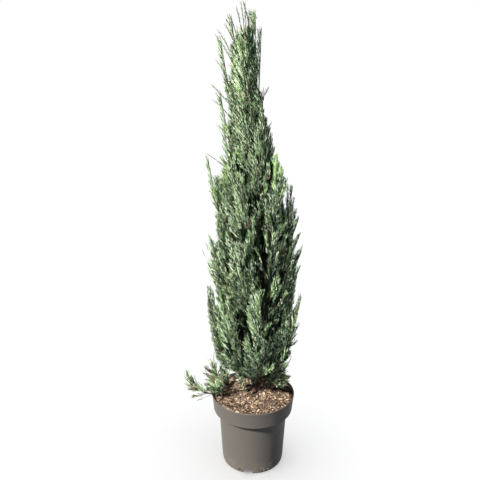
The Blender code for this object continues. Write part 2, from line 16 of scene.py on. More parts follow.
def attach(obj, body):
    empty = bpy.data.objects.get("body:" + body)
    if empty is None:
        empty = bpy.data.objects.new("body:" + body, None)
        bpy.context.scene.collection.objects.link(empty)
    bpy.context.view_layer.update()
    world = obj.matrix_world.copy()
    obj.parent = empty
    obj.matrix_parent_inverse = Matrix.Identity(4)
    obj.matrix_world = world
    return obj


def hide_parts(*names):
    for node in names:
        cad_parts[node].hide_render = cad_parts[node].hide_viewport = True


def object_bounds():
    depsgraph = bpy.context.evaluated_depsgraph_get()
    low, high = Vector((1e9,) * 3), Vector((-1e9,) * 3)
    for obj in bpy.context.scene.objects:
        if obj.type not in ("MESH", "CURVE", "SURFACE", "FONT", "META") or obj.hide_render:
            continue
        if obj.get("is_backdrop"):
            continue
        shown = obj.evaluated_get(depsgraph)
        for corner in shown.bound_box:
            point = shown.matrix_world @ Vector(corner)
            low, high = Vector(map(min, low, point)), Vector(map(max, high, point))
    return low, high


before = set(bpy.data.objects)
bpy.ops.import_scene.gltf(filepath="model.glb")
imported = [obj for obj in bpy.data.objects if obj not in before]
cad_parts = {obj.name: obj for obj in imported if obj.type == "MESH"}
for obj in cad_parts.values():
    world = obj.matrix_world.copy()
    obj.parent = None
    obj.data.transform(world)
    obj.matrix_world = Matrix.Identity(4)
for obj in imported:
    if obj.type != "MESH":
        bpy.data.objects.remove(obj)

bl_info = {
    "name": "Potted Juniper",
    "version": (1, 0, 0),
    "blender": (4, 5, 0),
    "location": "3D View > Sidebar > Juniper",
    "description": "Builds a columnar juniper in a nursery pot",
    "category": "Object",
}

CAD_LOW, CAD_HIGH = (np.array(corner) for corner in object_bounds())
BODY = "root"
GOLDEN_ANGLE = 137.508
UP = np.array([0.0, 0.0, 1.0])
SIDEWAYS = (0.31, 0.95, 0.05)  # a direction that no limb runs along

# Seeds of the random rules that belong to no single mass
LIMB_SEED, CHIP_SEED, CROWN_SEED = 7, 23, 61
WHIP_SEED, TRUNK_SEED, TUFT_SEED, INNER_SEED = 83, 84, 85, 86
FULL_SEEDS, SLIM_SEEDS = (31, 32, 33), (34, 35)

# The solids' own sizes, which every piece keeps to
JOINT_GAP = 0.0003  # between a bough's tip and the stem that goes on from it
POT_HEIGHT = 0.320
POT_WALL = 0.003
POT_FLOOR = 0.012
MULCH_EDGE_HEIGHT = 0.306
MULCH_CROWN_HEIGHT = 0.321
MULCH_FLAT_RADIUS = 0.060
TRUNK_FOOT = MULCH_CROWN_HEIGHT + JOINT_GAP
TRUNK_TOP = 1.730
TRUNK_FOOT_PLACE = (0.010, 0.025)
TRUNK_LEAN = (-0.030, -0.025)
TRUNK_FOOT_RADIUS = 0.0145
TRUNK_TOP_RADIUS = 0.0034
ROOT_FLARE = 0.010
ROOT_FLARE_HEIGHT = 0.018
BOUGH_RADIUS = 0.0048
STEM_RADIUS = 0.0042
STEM_TIP_RADIUS = 0.0009
STRAIGHT_END = 0.012

# How foliage stands round a mass's axis
CORE_SHARE = 0.60
CORE_START, CORE_END = 0.16, 0.88
FLAME_START = 0.10
SHOOT_END = 0.92
SHOOT_SPREAD = (0.50, 1.05)  # how far shoots spread, as shares of their mass's girth
SPLAY_LEAST, SPLAY_MOST = 0.12, 0.72  # sine of the angle between a shoot and its mass's axis
# A shoot that doesn't fit is turned round its mass and shortened, step by step
SHOOT_TRIES = ((0, 1.0), (15, 0.9), (-15, 0.9), (30, 0.8), (-30, 0.8), (0, 0.65), (50, 0.65), (0, 0.5))
CROWN_REACH = 0.196  # the dense masses' sprays end at this distance from the pot's axis
BOX_MARGIN = 0.004  # shoots stay this far inside the solids' box
# The even crown that fills up between the masses, in rows: height, its middle and its half width
CROWN = (
    (0.41, 0.020, 0.050),
    (0.46, 0.014, 0.118),
    (0.50, -0.004, 0.166),
    (0.65, 0.012, 0.157),
    (0.93, 0.005, 0.156),
    (1.08, 0.007, 0.134),
    (1.19, -0.010, 0.107),
    (1.27, -0.006, 0.122),
    (1.35, -0.003, 0.092),
    (1.41, -0.005, 0.071),
    (1.53, -0.024, 0.056),
    (1.62, -0.037, 0.047),
    (1.72, -0.036, 0.045),
    (1.80, -0.028, 0.020),
)
CROWN_HEIGHTS, CROWN_MIDDLES, CROWN_WIDTHS = zip(*CROWN)
SHOULDER_DROP = 0.12  # how much lower the crown's shoulder sits at its front and back
# Where that drop grows from nothing and where it's gone again: height, and over how much height
SHOULDER_START, SHOULDER_END = (0.95, 0.20), (1.45, 0.10)
RIDGES, RIDGE_DEPTH = 6.0, 0.22  # ridges of foliage round the crown, and how far they stand out
RIDGE_LENGTH = 3.2  # changes of a ridge over each metre of height
# Ridges fade lower down: the height from which the rise is counted, its least amount and its full one
RIDGE_FADE = (0.30, 0.15, 0.60)
RIGHT_EDGE = 40.0  # ridges lean to the right from the first cleft round to this direction
RIDGE_TWIST = 2.8  # how far ridges turn round the crown over each metre of height, in radians
# Shares of the shoots that end near the crown's outline and that stand out of it as feathers, and
# how far out each kind ends, as shares of the crown's width: the others end inside it
OUTER_SHARE, FEATHER_SHARE = 0.72, 0.14
OUTER_ENDS, INNER_ENDS, FEATHER_ENDS = (0.84, 1.0), (0.35, 0.80), (1.06, 1.28)
FEATHER_LOWEST = 0.56
# Shoots that rise to fill the crown: how steeply, their longest, and how they bend
RISE_ANGLE, RISE_ROOM, LONGEST_SHOOT = 24.0, 0.045, 0.19
RISE_BEND = np.array([0.60, 0.60, 0.42])
# How far sprays lean sideways, by their place across the crown
LEAN_PLACES = (-0.16, -0.07, 0.01, 0.06)
LEAN_AMOUNTS = (-0.32, -0.38, -0.30, -0.04)
# Dark clefts down the crown's front: angle, width, height, length and depth of each
CLEFTS = ((288.0, 11.0, 0.92, 0.19, 0.75), (322.0, 9.0, 0.86, 0.13, 0.55))
# The dark hollow under the crown's front
HOLLOW_ANGLE, HOLLOW_WIDTH = 292.0, 26.0
HOLLOW_HEIGHT, HOLLOW_LENGTH = 0.400, 0.065

# Tiers of masses on the trunk: name, number, height of the stems' roots, height of the tips, reach
# of the tips from the crown's axis, girth, direction of the first mass, length of shoots
TIERS = (
    ("low", 6, 0.47, 1.03, 0.158, 0.080, 190.0, 0.165),
    ("middle", 5, 0.68, 1.30, 0.138, 0.080, 180.0, 0.165),
    ("high", 4, 0.92, 1.45, 0.095, 0.068, 216.0, 0.150),
    ("neck", 4, 1.10, 1.60, 0.078, 0.054, 180.0, 0.135),
    ("crest", 3, 1.28, 1.74, 0.070, 0.048, 150.0, 0.130),
    ("top", 2, 1.47, 1.83, 0.048, 0.038, 190.0, 0.115),
)
SKIRT_COUNT = 7
SKIRT_BOUGH_HEIGHT = 0.345
SKIRT_BOUGH_STEP = 0.008
SKIRT_FIRST_ANGLE = 175.0
SKIRT_ROOT_REACH = 0.052
SKIRT_ROOT_HEIGHT = 0.402
SKIRT_BEND_REACH = 0.140
SKIRT_BEND_RISE = 0.048
SKIRT_TIP_REACH = 0.165
SKIRT_TIP_HEIGHT = 0.800
SKIRT_GIRTH = 0.078
SKIRT_SHOOT_LENGTH = 0.150
SKIRT_FLAME_START = -0.06  # the skirt's foliage starts at the foot of its stems

# Crowded shoots round the trunk's foot: number, heights of their roots and tips, and how far out
# they reach.  Of them, these shares have sprays: where more are bare, and elsewhere
FOOT_SHOOTS, FOOT_STARTS, FOOT_HEIGHTS, FOOT_REACHES = 130, (0.326, 0.420), (0.350, 0.400), (0.030, 0.085)
FOOT_DRESSED = (0.40, 0.50)
BARE_ANGLE, BARE_WIDTH = 292.0, 38.0  # where more of them are bare
# Short shoots on each low bough: number, where along it they start, and their lengths
BOUGH_SHOOTS, BOUGH_SPAN, BOUGH_SHOOT_LENGTHS = 24, (0.82, 1.0), (0.035, 0.070)
POT_CLEARANCE = 0.004  # shoots over the pot stay this far above its rim
OPEN_MASS_SHOOTS = 5.5  # times as many shoots on a low shoot's mass as on a dense one
SHOOT_POINTS = 7
CLUSTER_LOWEST = 0.342
SPRAY_LOWEST = 0.322  # sprays that would end below this are left out
# How sprays stand along a shoot: the first one's place, the span that they take, and their tilts
SHOOT_SPAN, SHOOT_TILTS = (0.12, 0.76), (4.0, 14.0)
WHIP_SPAN, WHIP_TILTS = (0.05, 0.83), (3.0, 15.0)
WHIP_SPRAY_GAP, WHIP_SPRAY_LENGTHS = 0.0075, (0.018, 0.034)
# Feathers are shoots that end outside the even crown.  How far sprays may pass a shoot's tip, as a
# share of a spray's length, and from where along it they are slim: on a feather, and on the others
FEATHER_ROOM, SHOOT_ROOM = 0.15, 0.26
FEATHER_SLIM, SHOOT_SLIM = 0.40, 0.72
SPRAY_LENGTHS = (0.70, 1.12)  # the shortest and the longest, as shares of a full spray
INNER_DEPTH = 0.060  # a spray that starts this deep in the crown is an inner one
# Blades in painted shade, near-black: in each metre of a mass, inside the whole crown and round the trunk
HEARTS_PER_METRE, INNER_BLADES, TRUNK_BLADES = 130, 1500, 500
INNER_HEIGHTS, TRUNK_HEIGHTS = (0.47, 1.74), (0.40, 1.42)  # from where to where the last two stand
HEART_LENGTHS, INNER_LENGTHS, TRUNK_LENGTHS = (0.020, 0.070), (0.060, 0.085), (0.045, 0.070)
# The tuft beside the leader is tinted near-black, as painted shade
TUFT_SPRAYS = 90
# Bushy places round the foot: middle, spread, number of shoots and the bough that they leave
FOOT_CLUSTERS = (
    (0.112, -0.050, 0.398, 0.015, 40, "right"),
    (0.130, -0.020, 0.392, 0.012, 16, "right"),
    (-0.190, -0.040, 0.362, 0.014, 24, "left_out"),
    (-0.150, -0.044, 0.348, 0.010, 14, "left_out"),
    (-0.184, -0.014, 0.392, 0.012, 24, "left_up"),
    (-0.040, -0.034, 0.385, 0.018, 14, "skirt_2"),
    (0.060, 0.100, 0.385, 0.020, 10, "skirt_4"),
)
# Where the low shoots' foliage ends: its height, and its distance from the pot's axis
PLUME_TOPS = {"mass_left_up": 0.458, "mass_right": 0.430}
PLUME_REACHES = {"mass_right": 0.166}
TUFT_FOOT = np.array([-0.017, -0.038, 1.695])
TUFT_RISE = np.array([-0.002, 0.014, 0.078])
# Thin shoots that stand out of the upper crown: x, y and height of the tip, and its length
WHIPS = (
    (-0.053, 0.000, 1.889, 0.130),
    (-0.040, 0.008, 1.884, 0.110),
    (-0.070, -0.004, 1.872, 0.130),
    (-0.022, 0.004, 1.862, 0.110),
    (-0.001, -0.004, 1.837, 0.100),
    (-0.096, 0.004, 1.847, 0.130),
    (-0.112, -0.012, 1.815, 0.120),
    (-0.137, 0.010, 1.796, 0.150),
    (-0.144, -0.006, 1.776, 0.140),
    (-0.149, 0.012, 1.693, 0.130),
    (-0.163, -0.010, 1.605, 0.140),
    (-0.164, 0.010, 1.553, 0.130),
    (-0.150, 0.000, 1.460, 0.110),
    (0.051, 0.006, 1.594, 0.110),
    (0.064, -0.008, 1.467, 0.100),
    (-0.188, -0.012, 1.354, 0.120),
    (-0.060, 0.090, 1.780, 0.130),
    (-0.050, -0.085, 1.745, 0.120),
    (-0.070, 0.110, 1.640, 0.130),
    (-0.030, -0.100, 1.590, 0.120),
    (-0.020, 0.125, 1.500, 0.120),
    (-0.045, -0.125, 1.470, 0.110),
)

# Tips that stand out of the even crown: mass, then x, y and height of its tip
STRAY_TIPS = {
    "mass_skirt_1": (-0.190, -0.010, 0.790),
    "mass_skirt_4": (0.172, -0.075, 0.700),
    "mass_skirt_5": (0.175, 0.070, 0.860),
    "mass_low_1": (-0.172, -0.030, 1.030),
    "mass_low_3": (0.075, -0.110, 1.070),
    "mass_low_4": (0.158, 0.020, 1.170),
    "mass_middle_1": (-0.180, -0.005, 1.340),
    "mass_middle_3": (0.100, -0.075, 1.310),
    "mass_neck_1": (-0.130, -0.015, 1.580),
    "mass_crest_1": (-0.128, 0.020, 1.770),
    "mass_crest_3": (0.022, 0.030, 1.800),
    "mass_top_1": (-0.088, 0.000, 1.840),
}
CROWN_SHIFT_START, CROWN_SHIFT_END = 1.15, 1.50
CROWN_SHIFT = -0.030

# Low shoots over the rim: name, bough's root height, bough's tip, bend and tip of the mass
LOW_SHOOTS = (
    ("left_out", 0.334, (-0.148, -0.038, 0.338), (-0.222, -0.046, 0.318), (-0.287, -0.050, 0.415)),
    ("left_up", 0.352, (-0.122, 0.012, 0.350), (-0.172, 0.010, 0.375), (-0.168, 0.006, 0.500)),
    ("right", 0.336, (0.092, 0.044, 0.362), (0.150, 0.060, 0.385), (0.170, 0.064, 0.455)),
)
LOW_SHOOT_GIRTH = 0.042
LOW_SHOOT_LENGTH = 0.080
LEADER_TIP = (-0.046, 0.0, 1.895)
LEADER_GIRTH = 0.024
LEADER_SHOOT_LENGTH = 0.085

# Pale is partly frosted young growth and partly painted highlight; shade and deep are painted shade, dark
# tints for cords and blades where shade falls inside the crown.
TINTS = ("blue", "grey", "green", "yellow", "pale", "shade", "brown", "deep")
BLUE, GREY, GREEN, YELLOW, PALE_AND_HIGHLIGHT, SHADE, BROWN, DEEP_SHADE = range(len(TINTS))
# For each tint: that of its plain cords, its lighter ones and its darker ones. The lighter cords are
# partly young tips and partly painted highlight; the darker ones are painted shade.
TINT_STEPS = np.array(
    [
        (BLUE, PALE_AND_HIGHLIGHT, SHADE),
        (GREY, PALE_AND_HIGHLIGHT, SHADE),
        (GREEN, PALE_AND_HIGHLIGHT, SHADE),
        (YELLOW, YELLOW, GREEN),
        (PALE_AND_HIGHLIGHT, PALE_AND_HIGHLIGHT, GREEN),
        (SHADE, BLUE, SHADE),
        (BROWN, BROWN, BROWN),
        (DEEP_SHADE, SHADE, DEEP_SHADE),
    ]
)
CHIP_TINTS = ("tan", "straw", "russet", "umber", "ash")
CHIP_SHARES = (0.27, 0.20, 0.20, 0.20, 0.13)
CHIP_THICKEST = 0.0036
SOIL_DEPTH = 0.004  # the soil lies this far under the chips' level
# Drain notches in the pot's foot: number, first one's direction, how far they cut in, and their
# half widths at the top and at the floor as shares of the notch's width
NOTCHES, NOTCH_ANGLE, NOTCH_CUT, NOTCH_SLANTS = 3, 260.0, 0.060, (0.50, 0.62)
# The round hole beside each notch: how far it is along, as a share of the notch's width, and sizes
HOLE_ASIDE, HOLE_HEIGHT, HOLE_RADIUS, HOLE_CUT = -0.86, 0.0135, 0.0055, 0.040
# Each light: its name, the setting of its strength, colour, angles in degrees and softness
LIGHTS = (
    ("key_light", "key_strength", (1.0, 0.95, 0.87), (48.0, 0.0, -47.5), 7.0),
    ("back_light", "back_strength", (1.0, 0.98, 0.92), (58.0, 0.0, -138.0), 40.0),
    ("floor_light", "floor_strength", (1.0, 1.0, 1.0), (0.0, 0.0, 0.0), 120.0),
    ("fill_light", "fill_strength", (1.0, 1.0, 1.0), (62.0, 0.0, 30.0), 60.0),
)


# Sizes and colours that a user would change


def amount(name, description, default, least=0.0, **kind):
    """A number that isn't negative."""
    words = {"name": name, "description": description}
    return bpy.props.FloatProperty(**words, default=default, min=least, **kind)


def number(name, description, default):
    """A whole number of things."""
    return bpy.props.IntProperty(name=name, description=description, default=default, min=1)


def length(name, description, default):
    """A size in metres."""
    return amount(name, description, default, unit="LENGTH", precision=4)


def colour(name, description, default):
    """A base colour."""
    return bpy.props.FloatVectorProperty(
        name=name, description=description, default=default, subtype="COLOR", size=3, min=0.0, max=1.0
    )


class JuniperPotSettings(bpy.types.PropertyGroup):
    """Sizes and finish of the nursery pot."""

    rim_radius: length("Rim radius", "Outer radius of the rim", 0.1775)
    band_height: length("Band height", "Height of the stepped-out band under the rim", 0.0724)
    band_foot_radius: length("Band foot radius", "Outer radius at the band's lower edge", 0.1695)
    wall_top_radius: length("Wall top radius", "Outer radius of the wall under the band", 0.1475)
    wall_foot_radius: length("Wall foot radius", "Outer radius just above the foot", 0.1335)
    base_radius: length("Base radius", "Radius of the flat underside", 0.1295)
    notch_width: length("Notch width", "Width of each drain notch in the foot", 0.039)
    notch_height: length("Notch height", "Height of each drain notch", 0.019)
    plastic: colour("Plastic", "Matte taupe plastic", (0.060, 0.055, 0.051))
    dust: colour("Dust", "Dried sand and dust near the foot", (0.240, 0.205, 0.150))
    sand: colour("Sand", "Grains of sand stuck near the foot", (0.640, 0.620, 0.570))


class JuniperMulchSettings(bpy.types.PropertyGroup):
    """Soil and the bark chips on it."""

    chips: number("Chips", "Number of bark and wood chips", 5200)
    chip_length: length("Chip length", "Length of a large chip", 0.021)
    soil: colour("Soil", "Dark potting soil", (0.035, 0.022, 0.014))
    tan: colour("Tan", "Light brown wood chips", (0.102, 0.066, 0.040))
    straw: colour("Straw", "Pale wood chips", (0.370, 0.278, 0.188))
    russet: colour("Russet", "Reddish bark chips", (0.078, 0.040, 0.024))
    umber: colour("Umber", "Dark bark chips", (0.022, 0.014, 0.009))
    ash: colour("Ash", "Weathered greyish pink chips", (0.140, 0.102, 0.082))


class JuniperBarkSettings(bpy.types.PropertyGroup):
    """Bark of the trunk, the boughs and the twigs."""

    relief: length("Relief", "Depth of the bark's strips on the trunk", 0.0016)
    strip: colour("Strip", "Loose reddish-brown strips", (0.110, 0.066, 0.046))
    furrow: colour("Furrow", "Bark between the strips", (0.045, 0.026, 0.018))
    weathered: colour("Weathered", "Greyed ridges", (0.165, 0.140, 0.120))
    twig: colour("Twig", "Thin twigs", (0.070, 0.055, 0.038))


class JuniperFoliageSettings(bpy.types.PropertyGroup):
    """How dense and how fine the foliage is, and its tints."""

    shoots_per_metre: amount("Shoots", "Side shoots on each metre of a mass's axis", 16.0, 1.0)
    crown_shoots: number("Crown shoots", "Shoots that fill up the even crown", 2100)
    spray_gap: length("Spray gap", "Distance between two sprays along a shoot", 0.0085)
    spray_length: length("Spray length", "Length of a full spray", 0.056)
    cord_radius: length("Cord radius", "Radius of a spray's scale-covered cords", 0.0010)
    blue: colour("Blue", "Glaucous blue-green sprays", (0.195, 0.340, 0.240))
    grey: colour("Grey", "Grey-green sprays", (0.325, 0.460, 0.285))
    green: colour("Green", "Mid-green sprays", (0.215, 0.375, 0.155))
    yellow: colour("Yellow", "Yellow-green sprays", (0.375, 0.490, 0.185))
    # Pale is partly frosted young tips and partly painted highlight on lit cords.
    pale: colour("Pale", "Frosted young tips", (0.610, 0.730, 0.535))
    # Shade is painted shade: the dark tint of darker cords and of sprays inside the crown and low down.
    shade: colour("Shade", "Deep green sprays inside the crown", (0.022, 0.044, 0.018))
    brown: colour("Brown", "Dead sprays inside the crown", (0.240, 0.178, 0.122))
    # Deep is painted shade: the near-black tint of the blades inside the crown, round the trunk and in the
    # tuft.
    deep: colour("Deep", "The dark heart of the crown", (0.009, 0.019, 0.008))


class JuniperStageSettings(bpy.types.PropertyGroup):
    """Floor, light and camera."""

    floor_radius: length("Floor radius", "Radius of the plain floor", 40.0)
    floor: colour("Floor", "Plain pale floor", (0.93, 0.93, 0.93))
    floor_glow: amount("Floor glow", "How bright the floor is by itself", 0.17)
    key_strength: amount("Key light", "Strength of the main light", 13.5)
    back_strength: amount("Back light", "Strength of the light from behind", 2.4)
    fill_strength: amount("Fill light", "Strength of the soft light on the foliage", 1.95)
    floor_strength: amount("Floor light", "Strength of the light on the floor", 2.72)
    ambient: amount("Ambient", "Strength of the light from all round", 0.118)
    camera_place: bpy.props.FloatVectorProperty(
        name="Camera", description="Place of the camera", default=(-0.0562, -2.179, 1.649), unit="LENGTH"
    )
    camera_tilt: amount("Tilt", "Camera's tilt from straight down", math.radians(73.5), subtype="ANGLE")
    focal_length: amount("Focal length", "Camera's focal length in millimetres", 42.63, 1.0)


# Shader graphs


class Socket:
    """An output of a node.  Arithmetic on it adds the nodes that work it out."""

    OPERATIONS = {
        "VALUE": ("ShaderNodeMath", (0, 1), 0),
        "VECTOR": ("ShaderNodeVectorMath", (0, 1), 0),
    }
    MIX_FACTOR, MIX_INPUTS, MIX_RESULT = 0, (6, 7), 2

    def __init__(self, paint, output):
        self.paint = paint
        self.output = output

    def arithmetic(self, operation, first, second):
        """Add the node for an operation: a Mix for colours, otherwise a Math node."""
        if self.output.type == "RGBA":
            settings = {"data_type": "RGBA", "blend_type": operation}
            sockets = {self.MIX_FACTOR: 1.0, self.MIX_INPUTS[0]: first, self.MIX_INPUTS[1]: second}
            return self.paint.node("ShaderNodeMix", settings, sockets, self.MIX_RESULT)
        kind, (left, right), result = self.OPERATIONS[self.output.type]
        return self.paint.node(kind, {"operation": operation}, {left: first, right: second}, result)

    def __add__(self, other):
        return self.arithmetic("ADD", self, other)

    def __radd__(self, other):
        return self.arithmetic("ADD", other, self)

    def __rsub__(self, other):
        return self.arithmetic("SUBTRACT", other, self)

    def __mul__(self, other):
        return self.arithmetic("MULTIPLY", self, other)

    def __rmul__(self, other):
        return self.arithmetic("MULTIPLY", other, self)


class Paint:
    """A material and the graph that feeds its one shader."""

    def __init__(self, name):
        self.material = bpy.data.materials.new(name)
        self.material.use_nodes = True
        self.tree = self.material.node_tree
        self.shader = self.tree.nodes["Principled BSDF"]

    def feed(self, socket, value):
        """Set a socket to a plain value, or link it to an output."""
        if isinstance(value, Socket):
            self.tree.links.new(value.output, socket)
            return
        if socket.type == "RGBA" and len(value) == 3:
            value = (*value, 1.0)
        socket.default_value = value

    def node(self, kind, settings=None, sockets=None, result=0):
        """Add a node, change its settings, feed its sockets and return one of its outputs."""
        node = self.tree.nodes.new(kind)
        for name, value in (settings or {}).items():
            if name == "stops":
                self.set_stops(node.color_ramp, value)
            else:
                setattr(node, name, value)
        for name, value in (sockets or {}).items():
            self.feed(node.inputs[name], value)
        return Socket(self, node.outputs[result])

    @staticmethod
    def set_stops(ramp, stops):
        """Set a ramp's stops, each a place and a grey level."""
        while len(ramp.elements) < len(stops):
            ramp.elements.new(1.0)
        for element, (place, level) in zip(ramp.elements, stops):
            element.position = place
            element.color = (level, level, level, 1.0)

    def place(self, stretch=(1.0, 1.0, 1.0)):
        """The point on the object, with each direction stretched."""
        point = self.node("ShaderNodeTexCoord", result="Object")
        return point * stretch

    def along(self, axis):
        """The place along one axis: Z for the height above the floor."""
        return self.node("ShaderNodeSeparateXYZ", sockets={0: self.place()}, result=axis)

    def noise(self, scale, detail=3.0, stretch=(1.0, 1.0, 1.0)):
        """Even noise, from 0 to 1."""
        sockets = {"Vector": self.place(stretch), "Scale": scale, "Detail": detail}
        return self.node("ShaderNodeTexNoise", sockets=sockets, result=0)

    def cells(self, scale, stretch=(1.0, 1.0, 1.0)):
        """Distance to the nearest of scattered points."""
        sockets = {"Vector": self.place(stretch), "Scale": scale}
        return self.node("ShaderNodeTexVoronoi", sockets=sockets, result="Distance")

    def steps(self, value, *stops):
        """The value taken through a ramp, as a value."""
        grey = self.node("ShaderNodeValToRGB", {"stops": stops}, {0: value})
        return self.node("ShaderNodeRGBToBW", sockets={0: grey})

    def mix(self, factor, first, second):
        """One colour over another."""
        settings = {"data_type": "RGBA", "clamp_factor": True}
        inputs = {Socket.MIX_FACTOR: factor, Socket.MIX_INPUTS[0]: first, Socket.MIX_INPUTS[1]: second}
        return self.node("ShaderNodeMix", settings, inputs, Socket.MIX_RESULT)

    def bump(self, height, distance, strength=1.0):
        """A normal that a height in units of the distance tips over."""
        sockets = {"Height": height, "Distance": distance, "Strength": strength}
        return self.node("ShaderNodeBump", sockets=sockets)

    def finish(self, **values):
        """Set the shader's sockets, named with underscores, and return the material."""
        for name, value in values.items():
            self.feed(self.shader.inputs[name.replace("_", " ").title()], value)
        return self.material


def shade_of(base, factor):
    """A base colour made darker or lighter."""
    return tuple(min(channel * factor, 1.0) for channel in base)


def plastic_material(settings):
    """Matte recycled plastic with scuffs, dust near the foot and a patch of sand grains on it."""
    paint = Paint("taupe_plastic")
    mottle = paint.noise(38.0, 5.0)
    streaks = paint.noise(26.0, 4.0, (1.0, 1.0, 0.12))
    low = paint.steps(paint.along("Z"), (0.0, 1.0), (0.022, 0.30), (0.060, 0.0))
    grime = paint.steps(paint.noise(17.0, 6.0), (0.50, 0.0), (0.68, 1.0))
    spots = paint.steps(paint.noise(210.0, 2.0), (0.55, 0.0), (0.62, 1.0))
    tone = paint.mix(mottle, shade_of(settings.plastic, 0.95), shade_of(settings.plastic, 1.05))
    tone = paint.mix(0.25 * streaks, tone, shade_of(settings.plastic, 1.14))
    tone = paint.mix(0.45 * low * grime + 0.80 * low * spots, tone, tuple(settings.dust))
    patch = paint.steps(paint.along("X"), (0.030, 0.0), (0.045, 1.0), (0.075, 1.0), (0.090, 0.0))
    patch = patch * paint.steps(paint.along("Z"), (0.036, 1.0), (0.050, 0.0))
    clumps = paint.steps(paint.noise(70.0, 2.0), (0.46, 0.0), (0.54, 1.0))
    sand = patch * clumps * paint.steps(paint.cells(170.0), (0.30, 1.0), (0.42, 0.0))
    tone = paint.mix(0.9 * sand, tone, tuple(settings.sand))
    grain = paint.noise(900.0, 2.0) + 0.5 * paint.noise(160.0, 3.0)
    return paint.finish(
        base_color=tone,
        roughness=0.56 + 0.16 * mottle + 0.15 * low * grime,
        normal=paint.bump(grain, 0.0004, 0.45),
    )


def soil_material(settings):
    """Crumbly dark soil."""
    paint = Paint("potting_soil")
    crumbs = paint.cells(420.0)
    tone = paint.mix(paint.noise(90.0, 5.0), shade_of(settings.soil, 0.6), shade_of(settings.soil, 1.9))
    height = crumbs + paint.noise(260.0, 4.0)
    return paint.finish(base_color=tone, roughness=0.95, normal=paint.bump(height, 0.003))


def chip_material(settings, name):
    """Split wood or bark, with grain and darker patches."""
    paint = Paint(f"chip_{name}")
    base = getattr(settings, name)
    grain = paint.noise(420.0, 4.0, (1.0, 0.25, 0.6))
    patches = paint.noise(95.0, 3.0)
    tone = paint.mix(grain, shade_of(base, 0.62), shade_of(base, 1.38))
    tone = paint.mix(0.5 * patches, tone, shade_of(base, 0.45))
    return paint.finish(base_color=tone, roughness=0.86, normal=paint.bump(grain, 0.0010, 0.8))


def bark_material(settings):
    """Fibrous bark that peels in thin upright strips."""
    paint = Paint("juniper_bark")
    fibres = paint.noise(240.0, 6.0, (1.0, 1.0, 0.07))
    strips = paint.noise(75.0, 4.0, (1.0, 1.0, 0.10))
    patches = paint.noise(14.0, 3.0)
    tone = paint.mix(paint.steps(strips, (0.36, 0.0), (0.62, 1.0)), settings.furrow, settings.strip)
    tone = paint.mix(0.55 * paint.steps(fibres, (0.45, 0.0), (0.70, 1.0)), tone, settings.weathered)
    tone = paint.mix(0.35 * patches, tone, shade_of(settings.furrow, 1.3))
    return paint.finish(
        base_color=tone,
        roughness=0.80 + 0.15 * fibres,
        normal=paint.bump(fibres + strips, 0.0018, 0.9),
    )


def twig_material(settings):
    """Thin bark, smoother and redder than the trunk's."""
    paint = Paint("twig_bark")
    fibres = paint.noise(500.0, 3.0, (1.0, 1.0, 0.15))
    tone = paint.mix(fibres, shade_of(settings.twig, 0.55), shade_of(settings.twig, 1.45))
    return paint.finish(base_color=tone, roughness=0.78, normal=paint.bump(fibres, 0.0006, 0.7))


def foliage_material(settings, name):
    """Scale leaves pressed close along a cord, with a waxy bloom."""
    paint = Paint(f"scale_leaves_{name}")
    base = getattr(settings, name)
    bloom = paint.noise(70.0, 3.0)
    scales = paint.cells(850.0, (1.0, 1.0, 0.55))
    tone = paint.mix(bloom, shade_of(base, 0.72), shade_of(base, 1.28))
    tone = paint.mix(paint.steps(scales, (0.35, 0.0), (0.75, 0.55)), tone, shade_of(base, 0.55))
    # The two painted-shade tints get little specular, so that they stay dark.
    if name in ("deep", "shade"):
        paint.feed(paint.shader.inputs["Specular IOR Level"], 0.12)
    return paint.finish(
        base_color=tone,
        roughness=0.50 + 0.18 * bloom,
        normal=paint.bump(1.0 - scales, 0.0006, 0.6),
    )


# Meshes


class Parts:
    """Points and triangles gathered from many small shapes, with a material for each face."""

    def __init__(self):
        self.points, self.faces, self.kinds = [], [], []
        self.count = 0

    def add(self, points, faces, kinds=0):
        """Add a shape.  Its kinds are one number for all its faces, or one for each."""
        self.points.append(points)
        self.faces.append(faces + self.count)
        self.kinds.append(np.broadcast_to(kinds, len(faces)))
        self.count += len(points)

    def merged(self):
        """All points, faces and kinds as whole arrays."""
        return np.vstack(self.points), np.vstack(self.faces), np.concatenate(self.kinds)


def piece(name, parts, materials, nodes, smooth=False):
    """Make one object from gathered parts, riding on the plant's body in place of some nodes."""
    points, faces, kinds = parts.merged()
    corners = faces.shape[1]
    mesh = bpy.data.meshes.new(name)
    mesh.vertices.add(len(points))
    mesh.vertices.foreach_set("co", points.astype(np.float32).ravel())
    mesh.loops.add(faces.size)
    mesh.loops.foreach_set("vertex_index", faces.astype(np.int32).ravel())
    mesh.polygons.add(len(faces))
    mesh.polygons.foreach_set("loop_start", np.arange(0, faces.size, corners, dtype=np.int32))
    mesh.polygons.foreach_set("material_index", np.ascontiguousarray(kinds, dtype=np.int32))
    mesh.polygons.foreach_set("use_smooth", np.full(len(faces), smooth))
    mesh.update(calc_edges=True)
    mesh.validate()
    return dress(name, mesh, materials, nodes)


def add_object(name, data):
    """Put data into the scene as an object."""
    thing = bpy.data.objects.new(name, data)
    bpy.context.scene.collection.objects.link(thing)
    return thing


def mesh_of(shape, name):
    """Turn an edited shape into a mesh, and free it."""
    mesh = bpy.data.meshes.new(name)
    shape.to_mesh(mesh)
    shape.free()
    return mesh


def dress(name, mesh, materials, nodes):
    """Put a mesh into the scene as a piece of the plant."""
    for material in materials:
        mesh.materials.append(material)
    thing = add_object(name, mesh)
    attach(thing, BODY)
    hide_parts(*nodes)
    return thing


def unit(vectors):
    """Vectors at length 1."""
    return vectors / np.linalg.norm(vectors, axis=-1, keepdims=True)


def steps_along(points):
    """The length of each step of a path."""
    return np.linalg.norm(np.diff(points, axis=0), axis=1)


def distances_along(points):
    """How far along a path each of its points lies."""
    return np.concatenate([[0.0], np.cumsum(steps_along(points))])


